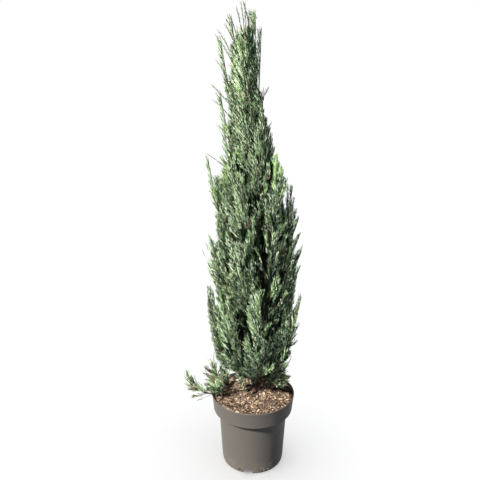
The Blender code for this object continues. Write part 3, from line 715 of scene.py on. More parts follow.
def interpolate(where, places, points):
    """Points of a path between the given ones, whose places along it are given."""
    return np.stack([np.interp(where, places, points[:, k]) for k in range(3)], axis=-1)


def bezier(start, bend, end, count=SHOOT_POINTS):
    """Points along a curve that leaves its start towards the bend."""
    share = np.linspace(0.0, 1.0, count)[:, None]
    return (1 - share) ** 2 * start + 2 * share * (1 - share) * bend + share**2 * end


def frames_along(points):
    """At each point of a path: its heading and two directions square to it, without twist."""
    headings = unit(np.gradient(points, axis=0))
    side = np.cross(headings[0], SIDEWAYS)
    sides = []
    for heading in headings:
        side = unit(side - side.dot(heading) * heading)
        sides.append(side)
    sides = np.array(sides)
    return headings, sides, np.cross(headings, sides)


def tube(points, radii, sides, relief=None):
    """A closed tube of triangles through the points.  A relief adds to the radius at each corner."""
    _, across, over = frames_along(points)
    turn = np.linspace(0.0, 2.0 * math.pi, sides, endpoint=False)
    radius = np.repeat(np.asarray(radii)[:, None], sides, axis=1)
    if relief is not None:
        radius = radius + relief(np.cos(turn), np.sin(turn))
    ring = np.cos(turn)[None, :, None] * across[:, None] + np.sin(turn)[None, :, None] * over[:, None]
    corners = points[:, None] + radius[..., None] * ring
    count = len(points)
    index = np.arange(count * sides).reshape(count, sides)
    low, high = index[:-1], index[1:]
    low_next, high_next = np.roll(low, -1, axis=1), np.roll(high, -1, axis=1)
    walls = [np.stack([low, low_next, high_next], -1), np.stack([low, high_next, high], -1)]
    first, last = count * sides, count * sides + 1
    ends = [
        np.stack([np.full(sides, first), np.roll(index[0], -1), index[0]], -1),
        np.stack([np.full(sides, last), index[-1], np.roll(index[-1], -1)], -1),
    ]
    faces = np.vstack([wall.reshape(-1, 3) for wall in walls] + ends)
    return np.vstack([corners.reshape(-1, 3), points[0], points[-1]]), faces


# Trunk, boughs and the axes of the masses, by the same rule as the solids


def trunk_share(height):
    """How far up the trunk a height lies, from 0 at its foot to 1 at its top."""
    return np.clip((height - TRUNK_FOOT) / (TRUNK_TOP - TRUNK_FOOT), 0.0, 1.0)


def trunk_centre(height):
    """The middle of the trunk at a height: it leans over more towards its top."""
    share = trunk_share(height)
    sway = 0.003 * math.sin(9.0 * share) * share
    x = TRUNK_FOOT_PLACE[0] + TRUNK_LEAN[0] * share**2 + sway
    y = TRUNK_FOOT_PLACE[1] + TRUNK_LEAN[1] * share - sway
    return np.array([x, y, height])


def trunk_radius(height):
    """The trunk's radius at a height, with the flare of its foot."""
    share = trunk_share(height)
    flare = ROOT_FLARE * math.exp(-(height - TRUNK_FOOT) / ROOT_FLARE_HEIGHT)
    return TRUNK_FOOT_RADIUS + share * (TRUNK_TOP_RADIUS - TRUNK_FOOT_RADIUS) + flare


def place_at(angle, reach, height, centre=(0.0, 0.0)):
    """A point at a direction and distance from an upright axis."""
    turn = math.radians(angle)
    return np.array(
        [centre[0] + reach * math.cos(turn), centre[1] + reach * math.sin(turn), height]
    )


def bough_path(root_height, end, heading):
    """A bough's points, from inside the trunk to its tip, which runs straight along a heading."""
    root = trunk_centre(root_height)
    before_end = end - STRAIGHT_END * heading
    bend = before_end - 0.45 * np.linalg.norm(before_end - root) * heading
    return np.vstack([bezier(root, bend, before_end, 5), end])


class Mass:
    """One mass of foliage: its axis, its girth and the length of its shoots."""

    flame_start = FLAME_START

    def __init__(self, name, points, girth, shoot_length, dense, seed):
        self.name = name
        self.axis = points
        self.girth = girth
        self.shoot_length = shoot_length
        self.dense = dense
        self.random = np.random.default_rng(seed)
        self.along = distances_along(points)
        self.length = self.along[-1]

    def at(self, share):
        """The point at a share of the axis's length."""
        return interpolate(share * self.length, self.along, self.axis)

    def heading(self, share):
        """The axis's direction there."""
        return unit(self.at(min(share + 0.03, 1.0)) - self.at(max(share - 0.03, 0.0)))

    def outward(self, share, angle):
        """A direction square to the axis there."""
        heading = self.heading(share)
        side = unit(np.cross(heading, SIDEWAYS))
        front = np.cross(heading, side)
        turn = math.radians(angle)
        return math.cos(turn) * side + math.sin(turn) * front

    def flame(self, share):
        """The mass's girth there: full in its lower half and drawn out to a point."""
        rise = np.clip((share - self.flame_start) / (1.0 - self.flame_start), 0.0, 1.0)
        return self.girth * 2.26 * rise**0.5 * (1.0 - rise) ** 0.7


def crown_centre(height):
    """The middle of the crown at a height."""
    rise = (height - CROWN_SHIFT_START) / (CROWN_SHIFT_END - CROWN_SHIFT_START)
    centre = trunk_centre(height)
    return centre[0] + CROWN_SHIFT * min(max(rise, 0.0), 1.0), centre[1]


def crown_middle(heights):
    """The even crown's middle, along X, at some heights."""
    return np.interp(heights, CROWN_HEIGHTS, CROWN_MIDDLES)


def crown_width(heights, fronts):
    """The even crown's half width at some heights.  Fronts are 1 at its front and back, 0 at its sides."""
    (start, rise), (end, fall) = SHOULDER_START, SHOULDER_END
    drop = SHOULDER_DROP * fronts * np.clip((heights - start) / rise, 0.0, 1.0)
    drop *= np.clip((end - heights) / fall, 0.0, 1.0)
    return np.interp(heights + drop, CROWN_HEIGHTS, CROWN_WIDTHS)


def crown_room(points):
    """How far each point lies inside the even crown."""
    heights = points[:, 2]
    across = points[:, 0] - crown_middle(heights)
    back = points[:, 1] - TRUNK_FOOT_PLACE[1] - TRUNK_LEAN[1] * trunk_share(heights)
    reach = np.hypot(across, back) + 1e-6
    return crown_width(heights, (back / reach) ** 2) - reach


def trunk_mass(tier, index, random):
    """A mass of one tier, on a stem that leaves the trunk."""
    name, count, root_height, tip_height, reach, girth, first_angle, shoot_length = tier
    angle = first_angle + 360.0 * index / count
    label = f"mass_{name}_{index + 1}"
    root_height += random.uniform(-0.02, 0.02)
    tip_height += random.uniform(-0.035, 0.035)
    reach += random.uniform(-0.006, 0.006)
    tip = place_at(angle, reach, tip_height, crown_centre(tip_height))
    tip = np.array(STRAY_TIPS.get(label, tip))
    root = trunk_centre(root_height)
    bend = 0.42 * root + 0.58 * tip
    bend[2] = root_height + 0.26 * (tip[2] - root_height)
    points = bezier(root, bend, tip, 9)
    return Mass(label, points, girth, shoot_length, True, 100 + len(label) * index)


def bough_mass(label, end, bend, tip, foliage, dense, seed):
    """A mass whose stem goes on from a bough's tip."""
    heading = unit(bend - end)
    first = end + JOINT_GAP * heading
    second = end + STRAIGHT_END * heading
    points = np.vstack([first, bezier(second, bend, tip, 8)])
    return Mass(label, points, *foliage, dense, seed)


def skirt_limbs(random):
    """The lowest tier: boughs that rise from the trunk's foot, and the masses on them."""
    boughs, masses = {}, []
    for index in range(SKIRT_COUNT):
        angle = SKIRT_FIRST_ANGLE + 360.0 * index / SKIRT_COUNT
        label = f"skirt_{index + 1}"
        end_height = SKIRT_ROOT_HEIGHT + random.uniform(-0.015, 0.015)
        end = place_at(angle, SKIRT_ROOT_REACH, end_height, TRUNK_FOOT_PLACE)
        tip_height = SKIRT_TIP_HEIGHT + random.uniform(-0.05, 0.05)
        tip = place_at(angle, SKIRT_TIP_REACH, tip_height)
        tip = np.array(STRAY_TIPS.get("mass_" + label, tip))
        bend = place_at(angle, SKIRT_BEND_REACH, end_height + SKIRT_BEND_RISE)
        step = (3 * index + 4) % SKIRT_COUNT
        root_height = SKIRT_BOUGH_HEIGHT + SKIRT_BOUGH_STEP * step
        boughs["bough_" + label] = bough_path(root_height, end, unit(bend - end))
        foliage = (SKIRT_GIRTH, SKIRT_SHOOT_LENGTH)
        masses.append(bough_mass("mass_" + label, end, bend, tip, foliage, True, 40 + index))
        masses[-1].flame_start = SKIRT_FLAME_START
    return boughs, masses


def low_limbs():
    """The low shoots: boughs that run out over the rim, and the open masses on them."""
    boughs, masses = {}, []
    for index, (label, root_height, end, bend, tip) in enumerate(LOW_SHOOTS):
        end, bend, tip = np.array(end), np.array(bend), np.array(tip)
        boughs["bough_" + label] = bough_path(root_height, end, unit(bend - end))
        foliage = (LOW_SHOOT_GIRTH, LOW_SHOOT_LENGTH)
        masses.append(bough_mass("mass_" + label, end, bend, tip, foliage, False, 70 + index))
    return boughs, masses


def leader_mass():
    """The thin shoots that carry on from the trunk's tip."""
    top = trunk_centre(TRUNK_TOP)
    tip = np.array(LEADER_TIP)
    foliage = (LEADER_GIRTH, LEADER_SHOOT_LENGTH)
    return bough_mass("mass_leader", top, top + 0.5 * (tip[2] - top[2]) * UP, tip, foliage, False, 91)


def grow_limbs():
    """The boughs by name and the masses, in the order in which the rule grows them."""
    random = np.random.default_rng(LIMB_SEED)
    boughs, masses = skirt_limbs(random)
    low_boughs, low_masses = low_limbs()
    boughs.update(low_boughs)
    masses += low_masses
    for tier in TIERS:
        masses += [trunk_mass(tier, index, random) for index in range(tier[1])]
    masses.append(leader_mass())
    return boughs, masses


BOUGHS, MASSES = grow_limbs()


def context_pot():
    """The pot's settings."""
    return bpy.context.scene.juniper_pot


class Space:
    """Says which points a mass may use: nearer to its own axis than to any other's."""

    def __init__(self):
        self.starts = np.vstack([mass.axis[:-1] for mass in MASSES])
        self.ends = np.vstack([mass.axis[1:] for mass in MASSES])
        self.owners = np.concatenate(
            [np.full(len(mass.axis) - 1, index) for index, mass in enumerate(MASSES)]
        )

    @staticmethod
    def distances(points, starts, ends):
        """Distance from each point to each straight piece."""
        run = ends - starts
        offset = points[:, None, :] - starts[None]
        share = np.einsum("psk,sk->ps", offset, run) / np.einsum("sk,sk->s", run, run)
        nearest = starts[None] + np.clip(share, 0.0, 1.0)[..., None] * run[None]
        return np.linalg.norm(points[:, None, :] - nearest, axis=2)

    def allows(self, index, points, margin=0.0):
        """Whether each point lies in the mass's own space and off the pot."""
        to_axes = self.distances(points, self.starts, self.ends)
        own = to_axes[:, self.owners == index].min(axis=1)
        others = to_axes[:, self.owners != index].min(axis=1)
        reach = np.hypot(points[:, 0], points[:, 1])
        over_pot = reach < context_pot().rim_radius + 0.006
        off_pot = ~over_pot | (points[:, 2] > POT_HEIGHT + POT_CLEARANCE)
        return (own + margin < others) & off_pot


# Pot


def pot_profile(pot):
    """The pot's section, from the middle of its inner floor over the rim to its underside's middle."""
    step = POT_HEIGHT - pot.band_height
    rim, foot = pot.rim_radius, pot.band_foot_radius
    top, heel, base = pot.wall_top_radius, pot.wall_foot_radius, pot.base_radius
    corners = [  # radius, height, rounding
        (0.0, POT_FLOOR, 0.0),
        (base - 2 * POT_WALL, POT_FLOOR, 0.004),
        (heel - POT_WALL, POT_FLOOR + 2 * POT_WALL, 0.004),
        (top - POT_WALL, step + POT_WALL, 0.002),
        (foot - POT_WALL, step + POT_WALL, 0.002),
        (rim - POT_WALL - 0.0004, POT_HEIGHT - 0.0100, 0.002),
        (rim - POT_WALL, POT_HEIGHT, 0.0012),
        (rim, POT_HEIGHT, 0.0012),
        (rim, POT_HEIGHT - 0.0065, 0.0010),
        (rim - 0.0010, POT_HEIGHT - 0.0080, 0.0008),
        (foot + 0.0002, step + 0.0050, 0.0020),
        (foot, step, 0.0020),
        (foot - 0.0040, step, 0.0012),
        (foot - 0.0052, step + 0.0018, 0.0008),
        (top + 0.0035, step + 0.0018, 0.0012),
        (top, step - 0.0030, 0.0012),
        (top - 0.0002, step - 0.0075, 0.0008),
        (top - 0.0016, step - 0.0085, 0.0008),
        (heel + 0.0004, 0.0220, 0.0060),
        (heel - 0.0012, 0.0085, 0.0045),
        (base, 0.0, 0.0022),
        (0.0, 0.0, 0.0),
    ]
    return soften(corners)


def soften(corners, steps=4):
    """Round each corner of a section with a short curve."""
    places = [np.array(corner[:2]) for corner in corners]
    line = [places[0]]
    for before, here, after, rounding in zip(places, places[1:], places[2:], [c[2] for c in corners[1:]]):
        back, on = before - here, after - here
        start = here + min(rounding, 0.45 * np.linalg.norm(back)) * unit(back)
        end = here + min(rounding, 0.45 * np.linalg.norm(on)) * unit(on)
        line += list(bezier(start, here, end, steps))
    line.append(places[-1])
    return np.array(line)


def turned_mesh(name, line, sides):
    """Turn a section round the Z axis into a closed mesh.  Both its ends lie on the axis."""
    shape = bmesh.new()
    turn = [2.0 * math.pi * step / sides for step in range(sides)]
    rings = [shape.verts.new((0.0, 0.0, line[0][1]))]
    rings += [
        [shape.verts.new((r * math.cos(a), r * math.sin(a), z)) for a in turn] for r, z in line[1:-1]
    ]
    rings.append(shape.verts.new((0.0, 0.0, line[-1][1])))
    for step in range(sides):
        after = (step + 1) % sides
        shape.faces.new((rings[0], rings[1][step], rings[1][after]))
        for low, high in zip(rings[1:-2], rings[2:-1]):
            shape.faces.new((low[step], high[step], high[after], low[after]))
        shape.faces.new((rings[-1], rings[-2][after], rings[-2][step]))
    bmesh.ops.recalc_face_normals(shape, faces=shape.faces)
    return mesh_of(shape, name)


def drain_cutter(pot):
    """Tapered blocks for the drain notches in the foot, and a round hole beside each."""
    shape = bmesh.new()
    lean = Matrix.Rotation(math.radians(90.0), 4, "Y")
    hole = Matrix.Translation((pot.base_radius, HOLE_ASIDE * pot.notch_width, HOLE_HEIGHT))
    for index in range(NOTCHES):
        turn = Matrix.Rotation(math.radians(NOTCH_ANGLE + 360.0 * index / NOTCHES), 4, "Z")
        for vertex in bmesh.ops.create_cube(shape, size=1.0)["verts"]:
            slant = NOTCH_SLANTS[0 if vertex.co.z > 0 else 1]
            across = vertex.co.y * 2.0 * slant * pot.notch_width
            along = pot.base_radius + vertex.co.x * NOTCH_CUT
            vertex.co = turn @ Vector((along, across, vertex.co.z * 2.0 * pot.notch_height))
        bmesh.ops.create_cone(
            shape, cap_ends=True, segments=20, radius1=HOLE_RADIUS, radius2=HOLE_RADIUS,
            depth=HOLE_CUT, matrix=turn @ hole @ lean
        )
    return mesh_of(shape, "drain_cutter")


def cut_mesh(mesh, cutter_mesh):
    """The first shape less the second, as a new mesh."""
    body = add_object("cut_body", mesh)
    cutter = add_object("cut_tool", cutter_mesh)
    modifier = body.modifiers.new("cut", "BOOLEAN")
    modifier.operation = "DIFFERENCE"
    modifier.solver = "EXACT"
    modifier.object = cutter
    result = bpy.data.meshes.new_from_object(body.evaluated_get(bpy.context.evaluated_depsgraph_get()))
    for thing in (body, cutter):
        bpy.data.objects.remove(thing, do_unlink=True)
    return result


class JUNIPER_OT_pot(bpy.types.Operator):
    """Make the stepped nursery pot with its rolled rim and drain notches"""

    bl_idname = "juniper.pot"
    bl_label = "Pot"

    def execute(self, context):
        pot = context.scene.juniper_pot
        mesh = turned_mesh("pot_shell", pot_profile(pot), 180)
        mesh = cut_mesh(mesh, drain_cutter(pot))
        mesh.shade_smooth()
        mesh.set_sharp_from_angle(angle=math.radians(38.0))
        dress("pot_shell", mesh, [plastic_material(pot)], ["pot"])
        return {"FINISHED"}


# Soil and bark chips


def inner_radius(pot, height):
    """The pot's inner radius at a height in its band."""
    ledge = POT_HEIGHT - pot.band_height + POT_WALL
    share = (height - ledge) / (POT_HEIGHT - ledge)
    return pot.band_foot_radius - POT_WALL + share * (pot.rim_radius - pot.band_foot_radius)


def mulch_height(reach, edge):
    """Height of the mulch at a distance from the pot's axis."""
    share = np.clip((reach - MULCH_FLAT_RADIUS) / (edge - MULCH_FLAT_RADIUS), 0.0, 1.0)
    return MULCH_CROWN_HEIGHT - (MULCH_CROWN_HEIGHT - MULCH_EDGE_HEIGHT) * share**1.3


def make_soil(mulch, pot):
    """The soil that fills the pot, with an uneven top under the chips."""
    edge = inner_radius(pot, MULCH_EDGE_HEIGHT) - 2 * JOINT_GAP
    ledge = POT_HEIGHT - pot.band_height + POT_WALL + JOINT_GAP
    line = [(0.0, MULCH_CROWN_HEIGHT - SOIL_DEPTH)]
    reaches = np.linspace(0.006, edge - 0.001, 34)
    line += [(reach, mulch_height(reach, edge) - SOIL_DEPTH) for reach in reaches]
    line += [
        (pot.band_foot_radius - POT_WALL - JOINT_GAP, ledge),
        (pot.wall_top_radius - POT_WALL - JOINT_GAP, ledge),
        (pot.wall_foot_radius - POT_WALL - JOINT_GAP, POT_FLOOR + 2 * POT_WALL),
        (pot.base_radius - 2 * POT_WALL, POT_FLOOR + JOINT_GAP),
        (0.0, POT_FLOOR + JOINT_GAP),
    ]
    mesh = turned_mesh("soil", np.array(line), 120)
    for vertex in mesh.vertices:
        if vertex.co.z > MULCH_EDGE_HEIGHT - 0.01:
            vertex.co.z += 0.0022 * noise.noise(vertex.co * 70.0)
    mesh.shade_smooth()
    return dress("soil", mesh, [soil_material(mulch)], ["mulch"])


CHIP_CORNERS = np.array([(x, y, z) for z in (-1, 1) for y in (-1, 1) for x in (-1, 1)], float)
CHIP_FACES = np.array(
    [(0, 2, 3, 1), (4, 5, 7, 6), (0, 1, 5, 4), (1, 3, 7, 5), (3, 2, 6, 7), (2, 0, 4, 6)]
)


def make_chips(mulch, pot):
    """Bark and wood chips, each a split wedge of its own, strewn over the soil."""
    random = np.random.default_rng(CHIP_SEED)
    edge = inner_radius(pot, MULCH_EDGE_HEIGHT)
    count = mulch.chips
    large = random.uniform(0.0, 1.0, count) ** 1.9
    long = mulch.chip_length * (0.22 + 0.78 * large)
    wide = long * random.uniform(0.20, 0.55, count)
    thick = np.minimum(wide * random.uniform(0.22, 0.60, count), CHIP_THICKEST)
    reach = (edge - 0.55 * long - 0.001) * np.sqrt(random.uniform(0.0, 1.0, count))
    turn = random.uniform(0.0, 2.0 * math.pi, count)
    lift = random.uniform(-0.2, 1.0, count) * 0.0050
    tints = random.choice(len(CHIP_TINTS), count, p=CHIP_SHARES)
    chips = Parts()
    for index in range(count):
        size = 0.5 * np.array([long[index], wide[index], thick[index]])
        corners = CHIP_CORNERS * size * random.uniform(0.62, 1.12, (8, 3))
        corners[:, 1] += 0.25 * size[1] * np.sign(corners[:, 0]) * random.uniform(-1.0, 1.0)
        roll = Matrix.Rotation(random.normal(0.0, 0.30), 3, "X")
        tilt = roll @ Matrix.Rotation(random.normal(0.0, 0.26), 3, "Y")
        spin = Matrix.Rotation(random.uniform(0.0, 2.0 * math.pi), 3, "Z")
        corners = corners @ np.array(spin @ tilt).T
        x, y = reach[index] * math.cos(turn[index]), reach[index] * math.sin(turn[index])
        height = mulch_height(reach[index], edge) - 0.0035 + lift[index]
        chips.add(corners + (x, y, height), CHIP_FACES, tints[index])
    materials = [chip_material(mulch, name) for name in CHIP_TINTS]
    return piece("bark_chips", chips, materials, ["mulch"])


class JUNIPER_OT_mulch(bpy.types.Operator):
    """Fill the pot with soil and strew bark chips over it"""

    bl_idname = "juniper.mulch"
    bl_label = "Soil and bark chips"

    def execute(self, context):
        make_soil(context.scene.juniper_mulch, context.scene.juniper_pot)
        make_chips(context.scene.juniper_mulch, context.scene.juniper_pot)
        return {"FINISHED"}


# Bark


def bark_relief(along, depth, wraps, seed):
    """A relief of upright, fraying strips for a tube with rings at the given lengths."""

    def relief(cosines, sines):
        heights = np.zeros((len(along), len(cosines)))
        for ring, where in enumerate(along):
            for corner, (x, y) in enumerate(zip(cosines, sines)):
                strip = noise.noise(Vector((wraps * x + seed, wraps * y, 14.0 * where)))
                fibre = noise.noise(Vector((3.0 * wraps * x, 3.0 * wraps * y + seed, 40.0 * where)))
                heights[ring, corner] = depth * (1.2 * abs(strip) + 0.45 * fibre)
        return heights

    return relief


def smooth_path(points, count):
    """More points along a path, eased through the given ones."""
    places = distances_along(points)
    where = np.linspace(0.0, places[-1], count)
    path = interpolate(where, places, points)
    for _ in range(3):
        path[1:-1] = 0.25 * path[:-2] + 0.5 * path[1:-1] + 0.25 * path[2:]
    return path, where


def make_trunk(bark):
    """The trunk with its root flare and peeling bark."""
    heights = TRUNK_FOOT - 0.003 + (TRUNK_TOP - TRUNK_FOOT + 0.003) * np.linspace(0.0, 1.0, 300) ** 1.15
    points = np.array([trunk_centre(height) for height in heights])
    points[:, 2] = heights
    radii = np.array([trunk_radius(max(height, TRUNK_FOOT)) for height in heights]) - 0.4 * bark.relief

    def relief(cosines, sines):
        strips = bark_relief(heights, bark.relief, 3.0, 5.0)(cosines, sines)
        taper = (radii / radii[0])[:, None]
        roots = np.exp(-(heights - TRUNK_FOOT) / 0.022)[:, None]
        turn = np.arctan2(sines, cosines)[None]
        return strips * np.sqrt(taper) + 0.0045 * roots * np.cos(4.0 * turn + 0.7)

    parts = Parts()
    parts.add(*tube(points, radii, 26, relief))
    return piece("trunk_bark", parts, [bark_material(bark)], ["trunk"], smooth=True)


def make_boughs(bark):
    """The boughs at the trunk's foot, in the same bark."""
    parts = Parts()
    for index, points in enumerate(BOUGHS.values()):
        path, along = smooth_path(points, 46)
        radii = np.linspace(BOUGH_RADIUS, STEM_RADIUS, len(path)) - 0.0002
        relief = bark_relief(along, 0.45 * bark.relief, 1.6, 9.0 + index)
        parts.add(*tube(path, radii, 12, relief))
    material = bpy.data.materials["juniper_bark"]
    return piece("bough_bark", parts, [material], list(BOUGHS), smooth=True)


class JUNIPER_OT_bark(bpy.types.Operator):
    """Make the trunk and the boughs at its foot, with the relief of their bark"""

    bl_idname = "juniper.bark"
    bl_label = "Trunk and boughs"

    def execute(self, context):
        make_trunk(context.scene.juniper_bark)
        make_boughs(context.scene.juniper_bark)
        return {"FINISHED"}


# Sprays

# Lighter cords are partly young tips and partly painted highlight; darker cords are painted shade.
PLAIN, HIGHLIGHT_AND_YOUNG_TIP, PAINTED_SHADE = 0, 1, 2  # how a cord's tint stands to its spray's


def blade(start, middle, tip, radius, flat):
    """A closed, keeled blade of four faces with a point at both ends."""
    run = unit(tip - start)
    across = unit(flat - run.dot(flat) * run)
    side, over = 1.5 * radius * across, 0.5 * radius * np.cross(run, across)
    points = np.array([start, middle + side + over, middle - side + over, tip])
    faces = np.array([(0, 1, 2), (0, 3, 1), (0, 2, 3), (1, 3, 2)])
    edges = points[1:] - points[0]
    return points, faces if np.linalg.det(edges) < 0 else faces[:, ::-1]


def spray_template(seed, cords, reach, thickness):
    """A spray one unit long along Z: a central cord, and side blades that lie close to it."""
    random = np.random.default_rng(seed)
    sway = random.uniform(-0.03, 0.03)
    spine = np.array([(0.0, 0.0, 0.0), (sway, 0.01, 0.45), (0.0, 0.0, 1.0)])
    parts = Parts()
    # The central cord takes the darker tint: painted shade.
    parts.add(*blade(*spine, 1.1 * thickness, random.normal(size=3)), PAINTED_SHADE)
    for index in range(cords):
        rise = 0.02 + 0.72 * (index + 0.5) / cords
        start = np.array([np.interp(rise, spine[:, 2], spine[:, 0]), 0.0, rise])
        side = math.pi * (index % 2) + random.uniform(-0.65, 0.65)
        angle = math.radians(random.uniform(9.0, 24.0))
        long = reach * (1.0 - 0.55 * rise) * random.uniform(0.75, 1.15)
        out = np.array([math.cos(side), 0.75 * math.sin(side), 0.0])
        middle = start + long * 0.5 * (math.sin(1.3 * angle) * out + math.cos(1.3 * angle) * UP)
        tip = start + long * (math.sin(angle) * out + math.cos(angle) * UP)
        # Each side blade is plain, lighter (partly painted highlight) or darker (painted shade).
        kind = random.choice((PLAIN, HIGHLIGHT_AND_YOUNG_TIP, PAINTED_SHADE), p=(0.38, 0.28, 0.34))
        flat = random.normal(size=3)
        parts.add(*blade(start, middle, tip, thickness * random.uniform(0.85, 1.15), flat), kind)
    return parts.merged()


def heart_template():
    """A toothed blade, one unit long, that fills the dark inside of a mass."""
    outline = [(0.0, 0.0), (0.20, 0.45), (0.10, 0.55), (0.15, 0.80), (0.0, 1.0)]
    outline += [(-0.14, 0.74), (-0.08, 0.56), (-0.19, 0.50)]
    points = [(x, 0.0, z) for x, z in outline] + [(0.0, 0.035, 0.5), (0.0, -0.035, 0.5)]
    faces = []
    for index in range(len(outline)):
        after = (index + 1) % len(outline)
        faces += [(index, after, 8), (after, index, 9)]
    return np.array(points), np.array(faces), np.zeros(len(faces), int)


def place_sprays(template, roots, headings, flats, lengths, bends):
    """Copies of a template at many places, as one array of points for each."""
    x, y, z = template[0].T[:, None, :, None]
    sides = np.cross(flats, headings)
    return roots[:, None] + lengths[:, None, None] * (
        x * sides[:, None] + y * flats[:, None] + z * headings[:, None] + z**2 * bends[:, None]
    )


FULL_SHAPES, SLIM_SHAPES, HEART_SHAPE = (0, 1, 2), (3, 4), 5  # places in the list of templates


class Sprays:
    """The sprays of one piece: where each stands, its length, its shape and its tint."""

    def __init__(self):
        self.rows = []

    def add(self, roots, headings, lengths, shapes, tints, random, bend=0.10):
        """Add sprays, each turned at random about its heading and bent a little upwards."""
        count = len(roots)
        across = unit(np.cross(headings, random.normal(size=(count, 3))))
        bends = bend * UP + random.normal(0.0, 0.035, (count, 3))
        self.rows.append((roots, headings, across, lengths, shapes, tints, bends))

    def add_hearts(self, roots, headings, lengths, random):
        """Add blades in the near-black deep tint, painted shade, which keep light from falling through the
        crown.
        """
        shapes, tints = np.full(len(roots), HEART_SHAPE), np.full(len(roots), DEEP_SHADE)
        self.add(roots, headings, lengths, shapes, tints, random)

    def build(self, templates):
        """Gather the triangles of all sprays that lie inside the solids' box."""
        roots, headings, flats, lengths, shapes, tints, bends = (
            np.concatenate(column) for column in zip(*self.rows)
        )
        parts = Parts()
        for shape, template in enumerate(templates):
            chosen = np.flatnonzero(shapes == shape)
            if not len(chosen):
                continue
            points = place_sprays(
                template, roots[chosen], headings[chosen], flats[chosen], lengths[chosen], bends[chosen]
            )
            inside = (points > CAD_LOW).all(axis=(1, 2)) & (points < CAD_HIGH).all(axis=(1, 2))
            points, chosen = points[inside], chosen[inside]
            offsets = np.arange(len(chosen)) * points.shape[1]
            faces = template[1][None] + offsets[:, None, None]
            kinds = TINT_STEPS[tints[chosen][:, None], template[2][None]]
            parts.add(points.reshape(-1, 3), faces.reshape(-1, 3), kinds.ravel())
        return parts


def spray_templates(foliage):
    """Three full sprays, two slim ones and the blade for a mass's heart."""
    thickness = foliage.cord_radius / foliage.spray_length
    full = [spray_template(seed, 8, 0.50, thickness) for seed in FULL_SEEDS]
    slim = [spray_template(seed, 5, 0.36, 0.90 * thickness) for seed in SLIM_SEEDS]
    return full + slim + [heart_template()]


# Shoots


def shoot_path(mass, index, space, number, count):
    """One side shoot, turned or shortened until it fits, or nothing."""
    random = mass.random
    rise = (number + 0.5) / count
    first = max(mass.flame_start + 0.02, 0.02)
    share = first + (SHOOT_END - first) * rise
    angle = GOLDEN_ANGLE * number + random.uniform(-15.0, 15.0)
    long = mass.shoot_length * random.uniform(0.85, 1.10) * (1.0 - 0.25 * rise)
    long = min(long, (1.0 - share) * mass.length + 0.02)
    spread = random.uniform(*SHOOT_SPREAD) * mass.flame(min(share + 0.10, 1.0))
    splay = math.asin(min(max(spread / long, SPLAY_LEAST), SPLAY_MOST))
    for turn, shrink in SHOOT_TRIES:
        outward = mass.outward(share, angle + turn)
        start = mass.at(max(share - 0.10 * long / mass.length, 0.01))
        along = mass.heading(share)
        end = start + shrink * long * (math.cos(splay) * along + math.sin(splay) * outward)
        bend = start + 0.45 * shrink * long * (
            math.cos(1.25 * splay) * along + math.sin(1.25 * splay) * outward
        )
        path = bezier(start, bend, end)
        if in_reach(mass, path) and space.allows(index, path[3:]).all():
            return path
    return None


def in_reach(mass, path):
    """Whether a dense mass's shoot ends near the even crown.  High up it has to end nearer."""
    if not mass.dense:
        return True
    over = np.interp(path[-1, 2], (1.20, 1.45), (0.030, 0.004))
    return crown_room(path[-1:])[0] > -over and np.hypot(path[:, 0], path[:, 1]).max() < CROWN_REACH


def crown_targets(foliage):
    """Places for shoots to reach, spread evenly over the crown's outline and inside it."""
    random = np.random.default_rng(CROWN_SEED)
    count = foliage.crown_shoots
    grid = np.linspace(CROWN_HEIGHTS[0], CROWN_HEIGHTS[-1], 200)
    area = np.cumsum(np.interp(grid, CROWN_HEIGHTS, CROWN_WIDTHS))
    order = (np.arange(count) + random.uniform(0.0, 1.0, count)) / count
    heights = np.interp(order * area[-1], area, grid)
    angles = (GOLDEN_ANGLE * np.arange(count) + random.uniform(-20.0, 20.0, count)) % 360.0
    outer = random.uniform(size=count) < OUTER_SHARE
    shares = np.where(outer, random.uniform(*OUTER_ENDS, count), random.uniform(*INNER_ENDS, count))
    feathers = (random.uniform(size=count) < FEATHER_SHARE) & (heights > FEATHER_LOWEST)
    shares = np.where(feathers, random.uniform(*FEATHER_ENDS, count), shares)
    widths = crown_width(heights, np.sin(np.radians(angles)) ** 2)
    reaches = widths * shares * cleft_shares(angles, heights)
    targets = []
    for angle, reach, height, middle in zip(angles, reaches, heights, crown_middle(heights)):
        centre = (middle, trunk_centre(height)[1])
        targets.append(place_at(angle, reach * (1.0 + RIDGE_DEPTH * ridge(angle, height)), height, centre))
    return np.array(targets)


def hump(offsets):
    """A smooth hump, 1 at its middle."""
    return np.exp(-(offsets**2))


def cleft_shares(angles, heights):
    """What share of the crown's width is left at each place in its clefts."""
    shares = np.ones(len(angles))
    for angle, width, height, long, depth in CLEFTS:
        shares *= 1.0 - depth * hump((angles - angle) / width) * hump((heights - height) / long)
    return shares


def in_hollow(points):
    """How deep each point lies in the dark hollow at the crown's foot, up to 1."""
    turns = np.arctan2(points[:, 1] - TRUNK_FOOT_PLACE[1], points[:, 0] - TRUNK_FOOT_PLACE[0])
    angles = np.degrees(turns) % 360.0
    depth = hump((angles - HOLLOW_ANGLE) / HOLLOW_WIDTH)
    return depth * hump(np.maximum(points[:, 2] - HOLLOW_HEIGHT, 0.0) / HOLLOW_LENGTH)


def ridge(angle, height):
    """How far the crown stands out at a place: long ridges, which lean apart at the cleft."""
    rightward = angle > CLEFTS[0][0] or angle < RIGHT_EDGE
    turn = math.radians(angle) + (-RIDGE_TWIST if rightward else RIDGE_TWIST) * height
    place = (RIDGES * math.cos(turn), RIDGES * math.sin(turn), RIDGE_LENGTH * height)
    fade_height, least, most = RIDGE_FADE
    return noise.noise(Vector(place)) * min(max(height - fade_height, least), most) / most


